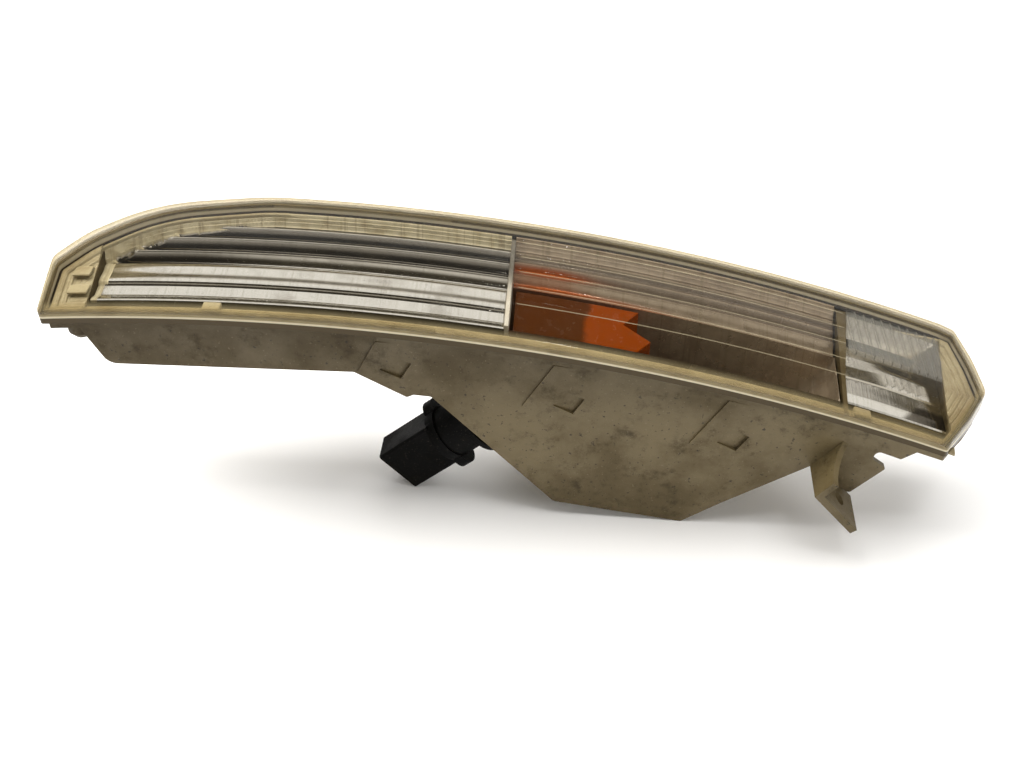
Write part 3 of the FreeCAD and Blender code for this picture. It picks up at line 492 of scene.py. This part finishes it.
trayShape = {
    "inset": 4.6, "rim": 3.55, "thick": 1.3, "left": -186.2, "right": -8.5, "columns": 340, "foot": -5.0,
    "strip": ((-9.5, -.8), (-8.5, -.8), (-4.5, -3.2), (1.2, -4.0), (2.3, -2.8), (13.6, -5.0)),
    "crests": ((13.6, -5.0), (20.4, -4.4), (26.4, -3.2), (31.2, -1.8), (35.9, -.4)),
    "rightCrests": ((15.7, -5.0), (22.9, -4.4), (27.8, -3.2), (31.4, -1.8), (35.9, -.4)),
    "rowCounts": (1, 6, 6, 2, 14, 30, 28, 28, 34), "rightCounts": (26, 22, 22, 34),
    "rise": ((3.5, 1.8), (4.2, 1.8), (4.35, .4), (4.9, .4), (5.05, -1.1), (5.6, -1.1), (5.75, -2.7), (6.4, -2.9), (6.5, -12)),
    "ends": (-178.5, -168.5, -153.5, -134.5), "sag": .38, "arcStep": 3.4, "arcHigh": .8, "arcs": 4,
    "crestRound": .34, "crestCut": .30, "bareEdge": (.2, .9), "shadeEdge": (-.95, -.72), "shadeFade": (100, 150), "shade": .85,
    "ripple": .16, "rippleFrom": 2.3, "rippleLong": 11.3, "rippleFade": .8, "bareSplit": 1.3, "bareTo": (-183.0, -181.5)}


def stripRows(marks, counts):  # y rows that fall exactly on each mark and crowd towards it
    rows = [a + (b - a) * bunched(n + 1)[:-1] for a, b, n in zip(marks[:-1], marks[1:], counts)]
    return np.concatenate(rows + [[marks[-1]]])


def scoopLift(x, y, ends, crests):  # the crest line, less a parabola about each strip's spine
    s = trayShape
    c = np.array(crests)
    lift = np.interp(y, c[:, 0], c[:, 1])
    bare, shade = np.ones(x.shape), np.zeros(x.shape)
    for number, ((ya, la), (yb, lb), end) in enumerate(zip(c[:-1], c[1:], ends)):
        half = math.hypot(yb - ya, lb - la) / 2
        inStrip = (y >= ya - 1e-6) & (y <= yb + 1e-6)
        far = np.hypot(np.maximum(end - x, 0), (y - (ya + yb) / 2) * half * 2 / (yb - ya)) / half
        lift = lift - np.where(inStrip, s["sag"] * 2 * half * np.clip(1 - far ** 2, 0, 1), 0)
        outside = (far - 1) * half
        wave = 1 - np.abs((outside / s["arcStep"]) % 1 * 2 - 1)  # nested arcs go out from each round end
        inArcs = inStrip & (x < end) & (outside > 0) & (outside < s["arcs"] * s["arcStep"])
        lift = lift + np.where(inArcs, s["arcHigh"] * smoothStep(wave, 0, 1), 0)
        bare = np.where(inStrip, smoothStep(outside, *s["bareEdge"]), bare)
        inner = smoothStep(-far, *s["shadeEdge"])  # painted shade: each hollow darkens inside a bright edge
        if number == 0:  # the lowest one only towards the left
            inner = inner * smoothStep(-x, *s["shadeFade"])
        shade = np.where(inStrip, inner, shade)
    for yc in c[1:-1, 0]:
        lift = lift - s["crestCut"] * np.exp(-((y - yc) / s["crestRound"]) ** 2)
    rise = np.array(s["rise"])  # nested steps climb to the rim
    wall = np.interp(edgeDistance(x, y, outlineRing(0)), rise[:, 0], rise[:, 1])
    over = smoothStep(wall - lift, -.1, .1)
    return np.maximum(lift, wall), np.maximum(bare, over), shade * (1 - over)


def silverTray():
    s = trayShape
    x = np.linspace(s["left"], s["right"], s["columns"])
    marks = [p[0] for p in s["strip"]] + [p[0] for p in s["crests"][1:]]
    x, y = clippedGrid(x, stripRows(marks, s["rowCounts"]), s["rim"])
    strip = np.array(s["strip"])
    split, first, fade = s["crests"][0][0], s["rippleFrom"], s["rippleFade"]
    flat = y < split
    lower = np.interp(y, strip[:, 0], strip[:, 1])
    ripple = s["ripple"] * np.sin((y - first) / s["rippleLong"] * np.pi * 3)
    lower += ripple * smoothStep(y, first, first + fade) * smoothStep(-y, -split, -split + fade)
    upper, bare, shade = scoopLift(x, y, s["ends"], s["crests"])
    lift = np.where(flat, lower, upper)
    bareTo = np.where(y < s["bareSplit"], *s["bareTo"])
    bare = np.where(flat, smoothStep(bareTo - x, 0, .5), bare)
    shade = np.where(flat, 0, s["shade"] * shade)
    low = np.where(flat, lift - s["thick"], np.minimum(lift, s["foot"]) - 2 * s["thick"])
    obj = plate("silverTray", place(x, y, lift), place(x, y, low), silverCoat,
                fields={"bare": bare, "amberReflection": 0 * x, "shade": shade}, smooth=50)
    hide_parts("silver_reflector")


silverTray()


bowlShape = {
    "left": -6.5, "right": 137.3, "columns": 320, "rows": 44, "even": .75, "low": -9.5, "high": 15.7, "square": 3.2,
    "rim": (-.9, -5.0), "thick": 2.0, "scoopFoot": -8.6, "scoopStart": -40, "shade": .7,
    "amberReflectionSpots": ((10, 25.8, 20, 1.2, 0, .9), (10, 19.4, 24, 1.0, 0, .8), (46, 18.6, 22, 1.3, .03, .8), (30, 14.8, 26, 1.2, 0, .5)),
    "sideAmberReflection": .45, "sideFade": (-34, -10), "sideHigh": (-29, -26.5),
    "floor": ((-6.5, 99.0), (-5.6, 80.0), (-4.0, 75.5), (2.0, 58.0), (8.0, 46.5), (17.0, 33.5), (26.5, 22.6), (40.0, 14.4),
              (54.0, 10.6), (68.5, 10.2), (82.0, 15.0), (96.0, 24.6), (110.0, 36.8), (122.0, 48.6), (131.0, 58.0),
              (135.0, 63.5), (136.4, 68.0), (137.3, 74.0))}


def bowlTray():
    s = bowlShape
    along = s["even"] * np.linspace(0, 1, s["columns"]) + (1 - s["even"]) * bunched(s["columns"])
    bowlRows = s["low"] + (s["high"] - s["low"]) * bunched(s["rows"])
    crests = trayShape["rightCrests"]
    rows = np.concatenate([bowlRows[:-1], stripRows([p[0] for p in crests], trayShape["rightCounts"])])
    x, y = clippedGrid(s["left"] + (s["right"] - s["left"]) * along, rows, trayShape["rim"])
    floor = np.array(s["floor"])
    v = np.clip((y - (s["low"] + s["high"]) / 2) / ((s["high"] - s["low"]) / 2), -1, 1)
    rim = liftedZ(x, y, np.interp(y, (s["low"], s["high"]), s["rim"]))
    depth = np.maximum(rim - np.interp(x, floor[:, 0], floor[:, 1]), 0)
    depth = depth * (1 - np.abs(v) ** s["square"]) ** (1 / s["square"])  # a squared round, full depth along the middle
    lift, bare, shade = scoopLift(x, y, (s["scoopStart"],) * 4, crests)  # the scoops run in from the left chamber
    inBowl = y < s["high"] - 1e-6
    top = np.stack([x, y, np.where(inBowl, rim - depth, liftedZ(x, y, lift))], -1) * mm
    low = top.copy()
    low[..., 2] = np.where(inBowl, top[..., 2] - s["thick"] * mm, liftedZ(x, y, s["scoopFoot"]) * mm)
    bare = np.where(y < s["high"], 0, bare)
    shade = np.where(y < s["high"], 0, s["shade"] * shade)
    # painted reflection of the amber filter in the scoops and beside the divider
    amberReflection = sum(share * np.exp(-((x - a) / wide) ** 2 - ((y - b + (x - a) * lean) / high) ** 2)
               for a, b, wide, high, lean, share in s["amberReflectionSpots"])
    amberReflection = np.clip(amberReflection + s["sideAmberReflection"] * smoothStep(-x, *s["sideFade"]) * smoothStep(-y, *s["sideHigh"]), 0, 1)
    obj = plate("bowlTray", top, low, brownReflectionCoat, fields={"bare": bare, "amberReflection": amberReflection, "shade": shade}, smooth=50)
    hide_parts("amber_reflector")


bowlTray()
print("reflectors made")


dishShape = {
    "left": 140.8, "right": 186.7, "columns": 90, "thick": 1.3,
    "steps": ((-9.5, -.8), (-8.5, -.8), (-7.4, -2.2), (-2.5, -2.9), (6.8, -4.8), (7.2, -4.2), (14.8, -6.6), (20.0, -7.0),
              (31.5, -9.0), (34.9, -.4)), "rowCounts": (1, 3, 8, 14, 2, 12, 8, 12, 6),
    "fan": .35, "fanStart": 141, "fanLong": 11.0, "fanLow": (-8, -3), "fanHigh": (-34, -30),
    "swell": 1.5, "swellFrom": 7.2, "swellLong": 7.6, "swellAlong": (148, 166), "swellHigh": (-22, -14.8),
    "dent": .015, "dentAlong": (148, 156), "dentLow": (-8, -6), "dentHigh": (-13, -9),
    "shade": .95, "shadeLean": .9, "shadeAlong": (171, 175), "shadeHigh": (-3, -1.5), "shadeLow": (-8.4, -7.6)}


def endDish():
    s = dishShape
    x = np.linspace(s["left"], s["right"], s["columns"])
    x, y = clippedGrid(x, stripRows([p[0] for p in s["steps"]], s["rowCounts"]), trayShape["inset"])
    steps = np.array(s["steps"])
    lift = np.interp(y, steps[:, 0], steps[:, 1])
    fan = s["fan"] * np.sin((x - s["fanStart"]) / s["fanLong"])
    lift += fan * smoothStep(y, *s["fanLow"]) * smoothStep(-y, *s["fanHigh"])
    swell = s["swell"] * np.clip((y - s["swellFrom"]) / s["swellLong"], 0, 1)
    lift += swell * smoothStep(x, *s["swellAlong"]) * smoothStep(-y, *s["swellHigh"])
    dents = s["dent"] * (np.sin(x / 2.3 + y * .5) * np.sin(y / 1.9 - x * .3))  # two slanted waves make a hammered look
    lift += dents * smoothStep(x, *s["dentAlong"]) * smoothStep(y, *s["dentLow"]) * smoothStep(-y, *s["dentHigh"])
    shade = smoothStep(x - s["shadeLean"] * y, *s["shadeAlong"])  # painted shade: the low outer corner is dark
    shade = shade * smoothStep(-y, *s["shadeHigh"]) * smoothStep(y, *s["shadeLow"])
    obj = plate("endDish", place(x, y, lift), place(x, y, lift - s["thick"]), silverCoat,
                fields={"bare": 0 * x, "amberReflection": 0 * x, "shade": s["shade"] * shade}, smooth=22)
    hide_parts("end_mirror")


prismShape = {
    "left": 142.6, "right": 186.6, "low": 14.6, "high": 35.6, "gap": .3, "foot": .8, "top": 2.2, "columns": 260, "rows": 26,
    "ridge": 1.1, "step": 4.2, "lean": 3.8, "start": 144.9, "half": .26, "lineHalf": .13, "linePaint": .42}


def prismPlate():
    s = prismShape
    x = np.linspace(s["left"], s["right"], s["columns"])
    low, high = chains(outlineRing(trayShape["inset"] + s["gap"]))
    yHigh = np.minimum(np.interp(x, high[:, 0], high[:, 1]), s["high"])
    yLow = np.maximum(np.interp(x, low[:, 0], low[:, 1]), s["low"])
    v = np.linspace(0, 1, s["rows"])[None, :]
    y = yLow[:, None] * (1 - v) + np.maximum(yHigh, yLow + .2)[:, None] * v
    x = np.repeat(x[:, None], s["rows"], 1)
    phase = ((x + s["lean"] * (y - s["low"]) / (s["high"] - s["low"]) - s["start"]) / s["step"]) % 1
    ridge = s["ridge"] * np.clip(1 - np.abs(phase - s["half"]) / s["half"], 0, 1)  # a row of leaning roofs, one in each step
    pale = smoothStep(np.abs(phase - s["half"]), 0, s["lineHalf"])  # nought on the ridge lines, where dark lines are painted as shade
    obj = plate("prismPlate", place(x, y, s["top"] + ridge), place(x, y, s["foot"] + 0 * x), prismClear,
                fields={"edgeOrLineDistance": 9 * pale, "skirt": 0 * x, "foot": s["linePaint"] * (1 - pale)}, smooth=20)
    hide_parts("side_prism")


endDish()
prismPlate()


trimShape = {
    "inset": 3.5, "columns": 110, "rows": 130, "leftTo": -186.9, "rightFrom": 187.4, "foot": .02,
    "steps": ((3.5, 2.6), (6.3, 2.6), (6.6, 1.6), (9.1, 1.6), (9.4, .8), (40, .8)),
    "groove": .3, "grooveStep": 2.3, "grooveHalf": .16}


def endTerraces(name, a, b, node):  # flange plate that steps down with the distance from the rim
    s = trimShape
    x, y = faceGrid(s["inset"], s["columns"], s["rows"], x0=a, x1=b)
    d = edgeDistance(x, y, outlineRing(0))
    steps = np.array(s["steps"])
    lift = np.interp(d, steps[:, 0], steps[:, 1])
    groove = np.clip(1 - np.abs((d / s["grooveStep"]) % 1 - .5) / s["grooveHalf"], 0, 1)  # fine lines that follow the rim
    lift -= s["groove"] * groove
    obj = plate(name, place(x, y, lift), place(x, y, s["foot"] + 0 * x), trimPlastic, smooth=28)
    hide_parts(node)


def farEnds(inset):  # least and greatest x inside the outline
    low, high = chains(outlineRing(inset))
    return max(low[0, 0], high[0, 0]) + 1e-4, low[-1, 0] - 1e-4


bandShape = {"profile": ((3.35, .1), (3.35, 1.7), (3.6, 1.95), (4.3, 1.95), (4.5, 1.7), (4.5, .1)), "cornerSteps": 60}


def rimBand():  # flat-topped band carried round the outline between the bead and the reflectors
    path = [outlineRing(d, bandShape["cornerSteps"]) for d, _ in bandShape["profile"]]
    sections = np.stack([place(p[:, 0], p[:, 1], np.full(len(p), h)) for p, (_, h) in zip(path, bandShape["profile"])], 1)
    obj = sweepRing("rimBand", sections, trimPlastic, smooth=30)


ledgeShape = {
    "left": -188.5, "right": 189.0, "low": -18.2, "high": -12.9, "top": -.2, "thick": 1.4, "columns": 200,
    "swell": (-.3, 0, .04, .05, .04, 0, -.3)}


def lowLedge():  # narrow shelf between the band and the slot below the reflectors
    s = ledgeShape
    count = len(s["swell"])
    x = np.repeat(np.linspace(s["left"], s["right"], s["columns"])[:, None], count, 1)
    across = np.interp(np.linspace(0, 1, count), (0, .1, .9, 1), (0, .06, .94, 1))
    y = np.repeat(across[None, :] * (s["high"] - s["low"]) + s["low"], s["columns"], 0)
    top = place(x, y, s["top"] + np.array(s["swell"])[None, :] + 0 * x)
    obj = plate("lowLedge", top, place(x, y, s["top"] - s["thick"] + 0 * x), trimPlastic, smooth=30)


leftMost, rightMost = farEnds(trimShape["inset"])
endTerraces("leftTerraces", leftMost, trimShape["leftTo"], "trim_left")
endTerraces("rightTerraces", trimShape["rightFrom"], rightMost, "trim_right")
rimBand()
lowLedge()
print("right end and trim made")


def softened(node, name, material, width, segments=2, sharp=32):  # copy of the CAD piece, its edges rounded
    source = frame["nodes"][node]
    mesh = source.data.copy()
    mesh.name = name
    work = bmesh.new()
    work.from_mesh(mesh)
    bmesh.ops.remove_doubles(work, verts=work.verts, dist=2e-6)
    bmesh.ops.dissolve_limit(work, angle_limit=math.radians(.4), verts=work.verts, edges=work.edges)
    work.to_mesh(mesh)
    work.free()
    mesh.materials.clear()
    mesh.materials.append(material)
    mesh.shade_smooth()
    obj = bpy.data.objects.new(name, mesh)
    bpy.context.scene.collection.objects.link(obj)
    bevel = obj.modifiers.new("softEdges", "BEVEL")
    bevel.width, bevel.segments = width * mm, segments
    bevel.limit_method, bevel.angle_limit = "ANGLE", math.radians(sharp)
    obj.modifiers.new("evenNormals", "WEIGHTED_NORMAL").keep_sharp = True
    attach(obj, next(body for body, nodes in frame["record"]["behaviour"]["bodies"].items() if node in nodes))
    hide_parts(node)
    return obj


wallShape = {"palest": -9.5, "darkest": 36.0}


def dividerWall():  # painted highlight at its pale lower end and painted shade at its dark upper one
    mesh = softened("divider", "dividerWall", mirrorCoat("dividerCoat", dividerLook), .3).data
    corners = np.empty(len(mesh.vertices) * 3)
    mesh.vertices.foreach_get("co", corners)
    bare = np.interp(corners.reshape(-1, 3)[:, 1] / mm, (wallShape["palest"], wallShape["darkest"]), (1.0, 0.0))
    mesh.attributes.new("bare", "FLOAT", "POINT").data.foreach_set("value", bare)


softened("housing", "housingShell", housingPlastic, .35)
dividerWall()
softened("amber_filter", "amberBox", amberClear, .35)
softened("lens_seal", "sealingBead", sealRubber, .3)
softened("vent_cap", "ventCap", holderPlastic, .3)
softened("holder", "bulbHolder", holderPlastic, .4)
softened("bulb_base", "bulbFoot", footPlastic, .3)
for which in ("left", "mid", "right"):
    softened("contact_" + which, which + "Blade", tinnedMetal, .12)
print("moulded pieces made")


port = np.array([-18.16, -1.0, 46.105])  # the middle of the port's face, in mm
inward = np.array([.7473, 0, .6644])  # along its axis, towards the bulb
slant = np.array([.6644, 0, -.7473])  # across it
bulbShape = {"radius": 7.7, "tip": 42.0, "foot": 7.0, "wall": .9}


def bulbGlass():  # a straight wall under a half round, outside and in
    s = bulbShape
    a = np.linspace(0, np.pi / 2, 20)
    outer = np.stack([s["radius"] * np.cos(a), s["tip"] - s["radius"] * (1 - np.sin(a))], 1)
    r = s["radius"] - s["wall"]
    inner = np.stack([r * np.cos(a[::-1]), s["tip"] - s["radius"] + r * np.sin(a[::-1])], 1)
    foot = [(0, s["foot"]), (s["radius"] - 1, s["foot"]), (s["radius"] - .3, s["foot"] + .3), (s["radius"], s["foot"] + 1)]
    profile = np.vstack([foot, outer, inner, [(r, s["foot"] + s["wall"]), (0, s["foot"] + s["wall"])]])
    obj = turned("bulbEnvelope", profile, port, inward, bulbClear, 72, body="bulb_unit", smooth=40)
    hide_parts("bulb_glass")


sealShape = {"radius": 15.75, "halfWide": 1.75, "halfHigh": .8, "square": .6}


def sealRing():  # an oval section, squarer than an ellipse
    s = sealShape
    a = np.linspace(0, 2 * np.pi, 25)
    across = np.sign(np.cos(a)) * np.abs(np.cos(a)) ** s["square"]
    up = np.sign(np.sin(a)) * np.abs(np.sin(a)) ** s["square"]
    profile = np.stack([s["radius"] + s["halfWide"] * across, -s["halfHigh"] + s["halfHigh"] * up], 1)
    obj = turned("holderSealRing", profile, port, inward, sealRubber, 96, body="bulb_unit", smooth=40)
    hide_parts("holder_seal")


def wire(name, path, radius, material, count=8, **more):  # round section carried along a polyline
    along = np.gradient(path, axis=0)
    along /= np.linalg.norm(along, axis=1)[:, None]
    side = np.cross(along, (.31, .87, .38))  # a direction that no wire here runs along
    side /= np.linalg.norm(side, axis=1)[:, None]
    up = np.cross(along, side)
    a = np.linspace(0, 2 * np.pi, count, endpoint=False)
    tube = path[:, None] + radius * (np.cos(a)[None, :, None] * side[:, None] + np.sin(a)[None, :, None] * up[:, None])
    n = len(path)
    index = np.arange(n * count).reshape(n, count)
    index = np.hstack([index, index[:, :1]])
    ends = [np.stack([np.full(count, n * count), index[0, :-1], index[0, 1:]], -1),
            np.stack([np.full(count, n * count + 1), index[-1, 1:], index[-1, :-1]], -1)]
    points = np.vstack([tube.reshape(-1, 3), path[:1], path[-1:]])
    quads = quadsOf(index)
    triangles = np.vstack([quads[:, [0, 1, 2]], quads[:, [0, 2, 3]], *ends])
    return makeObject(name, points * mm, triangles, material, **more)


coilShape = {
    "turns": 11, "steps": 220, "radius": .34, "wire": .085, "half": 2.7, "posts": 3.0, "postFoot": 8.2, "postShort": .8}


def filament(name, node, offset, depth):  # up one post, round a coil of so many turns, and down the other
    s = coilShape
    t = np.linspace(0, 1, s["steps"])
    a = t * s["turns"] * 2 * np.pi
    spot = port + np.array([0, offset, 0])
    coil = (spot + inward * depth + slant * ((2 * t - 1) * s["half"])[:, None]
            + s["radius"] * (np.cos(a)[:, None] * np.array([0, 1, 0]) + np.sin(a)[:, None] * inward))
    post = spot + inward * np.linspace(s["postFoot"], depth - s["postShort"], 14)[:, None]
    first, last = post - slant * s["posts"], (post + slant * s["posts"])[::-1]
    obj = wire(name, np.vstack([first, coil, last]), s["wire"], wireMetal, body="bulb_unit", smooth=60)
    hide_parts(node)


bulbGlass()
sealRing()
filament("mainFilament", "filament_main", -2.0, 30.0)
filament("lowFilament", "filament_low", 2.0, 25.0)
softened("filament_bridge", "glassBridge", bulbClear, .3)
print("bulb made")


def block(name, centre, size, tilt, width):  # rounded box of trim, tilted about Y, with its place in its mesh
    half = np.array(size) / 2
    sign = np.array([(i, j, k) for i in (-1, 1) for j in (-1, 1) for k in (-1, 1)])
    c, s = math.cos(tilt), math.sin(tilt)
    points = sign * half @ np.array([(c, 0, -s), (0, 1, 0), (s, 0, c)]) + np.array(centre)
    faces = [(0, 1, 3, 2), (4, 6, 7, 5), (0, 4, 5, 1), (2, 3, 7, 6), (0, 2, 6, 4), (1, 5, 7, 3)]
    obj = makeObject(name, points * mm, faces, trimPlastic, smooth=30)
    bevel = obj.modifiers.new("softEdges", "BEVEL")
    bevel.width, bevel.segments = width * mm, 3


def onArc(x, y, lift):
    return (x, y, float(liftedZ(x, y, lift)))


def arcTilt(x):  # slope of the joint surface at x, for pieces that lie on it
    return math.asin((x - arc["x"]) / (arc["radius"] + 6))


clipShape = {"left": (-131.8, -13.6), "right": (146.4, -14.0), "lift": .6, "size": (7.8, 5.2, 2.6), "round": .7}
padShape = {"pads": ((-192.0, 2.7, 2.2, (8.0, 6.4, 1.2)), (-191.5, -6.4, 2.0, (9.0, 6.0, 1.2))), "round": .5}
for side in ("left", "right"):
    x, y = clipShape[side]
    block(side + "LensClip", onArc(x, y, clipShape["lift"]), clipShape["size"], arcTilt(x), clipShape["round"])
for number, (x, y, lift, size) in enumerate(padShape["pads"]):
    block("endPad" + str(number), onArc(x, y, lift), size, arcTilt(x), padShape["round"])
print("small pieces made")


roomLook = {
    "floor": srgb(252, 251, 249), "floorSecond": srgb(240, 239, 236), "key": 13.0, "fill": 4.0, "back": 4.0, "top": 14.0,
    "glint": .5, "world": 1.0, "sky": (  # swing (nought behind the lamp, a half overhead, one in front) and tint
        (0.0, (120, 117, 110)), (.08, (66, 63, 58)), (.20, (64, 61, 56)), (.25, (236, 234, 230)), (.28, (255, 255, 254)),
        (.345, (255, 255, 254)), (.39, (92, 88, 82)), (.43, (30, 28, 26)), (.66, (24, 22, 20)), (.75, (80, 76, 70)),
        (.84, (220, 217, 210)), (1.0, (226, 222, 214)))}


def studio():
    mesh = bpy.data.meshes.new("studioFloor")
    mesh.from_pydata([(-4, -4, 0), (4, -4, 0), (4, 4, 0), (-4, 4, 0)], [], [(0, 1, 2, 3)])
    floor = bpy.data.objects.new("studioFloor", mesh)
    bpy.context.scene.collection.objects.link(floor)
    material, tree, where = startMaterial("paleFloor")
    shade = between(tree, cloudy(tree, where, 3, 2, .5), .3, .7, .0, .02)
    colour = mixed(tree, shade, roomLook["floor"], roomLook["floorSecond"])
    shader = addNode(tree, "ShaderNodeBsdfPrincipled", {"Base Color": colour, "Roughness": .9})
    mesh.materials.append(ended(material, tree, shader.outputs[0]))
    world = bpy.data.worlds.new("studioWorld")
    bpy.context.scene.world = world
    world.use_nodes = True
    tree = world.node_tree
    tree.nodes.clear()
    direction = tree.nodes.new("ShaderNodeTexCoord").outputs["Generated"]
    look = addNode(tree, "ShaderNodeSeparateXYZ", {"Vector": direction}).outputs
    swing = sums(tree, "DIVIDE", sums(tree, "ARCTAN2", look["Z"], look["Y"]), math.pi)
    ramp = tree.nodes.new("ShaderNodeValToRGB")
    tree.links.new(swing, ramp.inputs[0])
    while len(ramp.color_ramp.elements) < len(roomLook["sky"]):
        ramp.color_ramp.elements.new(.5)
    for element, (at, tint) in zip(ramp.color_ramp.elements, roomLook["sky"]):
        element.position, element.color = at, srgb(*tint)
    sky = addNode(tree, "ShaderNodeBackground", {"Color": ramp.outputs[0], "Strength": roomLook["world"]}).outputs[0]
    addNode(tree, "ShaderNodeOutputWorld", {"Surface": sky})


def softLight(name, spot, aim, size, power, tint=(1, 1, 1), mirrored=False):
    light = bpy.data.lights.new(name, "AREA")
    light.shape, light.size, light.size_y, light.energy, light.color = "RECTANGLE", size[0], size[1], power, tint
    obj = bpy.data.objects.new(name, light)
    bpy.context.scene.collection.objects.link(obj)
    back = np.array(spot, float) - np.array(aim, float)
    back /= np.linalg.norm(back)
    side = np.cross((0, 1, .01), back)
    side /= np.linalg.norm(side)
    up = np.cross(back, side)
    obj.matrix_world = Matrix([(side[i], up[i], back[i], spot[i]) for i in range(3)] + [(0, 0, 0, 1)])
    obj.visible_glossy = mirrored


cameraLook = {"place": (25.38, -404.6, 416.92), "azimuth": 4.4, "elevation": 41.2, "lens": 42.1875}


def photoCamera():
    look = cameraLook
    a, e = math.radians(look["azimuth"]), math.radians(look["elevation"])
    right = np.array([math.cos(a), math.sin(a), 0])
    ahead = np.array([-math.sin(a) * math.cos(e), math.cos(a) * math.cos(e), -math.sin(e)])
    up = np.cross(right, ahead)
    data = bpy.data.cameras.new("photoCamera")
    data.lens, data.sensor_width, data.clip_start = look["lens"], 36.0, .01
    obj = bpy.data.objects.new("photoCamera", data)
    bpy.context.scene.collection.objects.link(obj)
    p = np.array(look["place"]) * mm
    obj.matrix_world = Matrix([(right[i], up[i], -ahead[i], p[i]) for i in range(3)] + [(0, 0, 0, 1)])
    bpy.context.scene.camera = obj
    bpy.context.scene.view_settings.view_transform = "Standard"


studio()
softLight("keyLight", (-.6, .15, 1.0), (0, 0, .08), (.8, .6), roomLook["key"], (1, .985, .96))
softLight("fillLight", (.95, -.75, .55), (0, 0, .05), (1.0, .6), roomLook["fill"])
softLight("backLight", (.2, .9, .7), (0, 0, .08), (1.2, .4), roomLook["back"])
softLight("topLight", (.1, .1, 1.3), (0, 0, .0), (1.4, 1.0), roomLook["top"])
softLight("glintLight", (.22, -.25, 1.0), (0, 0, .1), (.08, .08), roomLook["glint"], mirrored=True)
photoCamera()
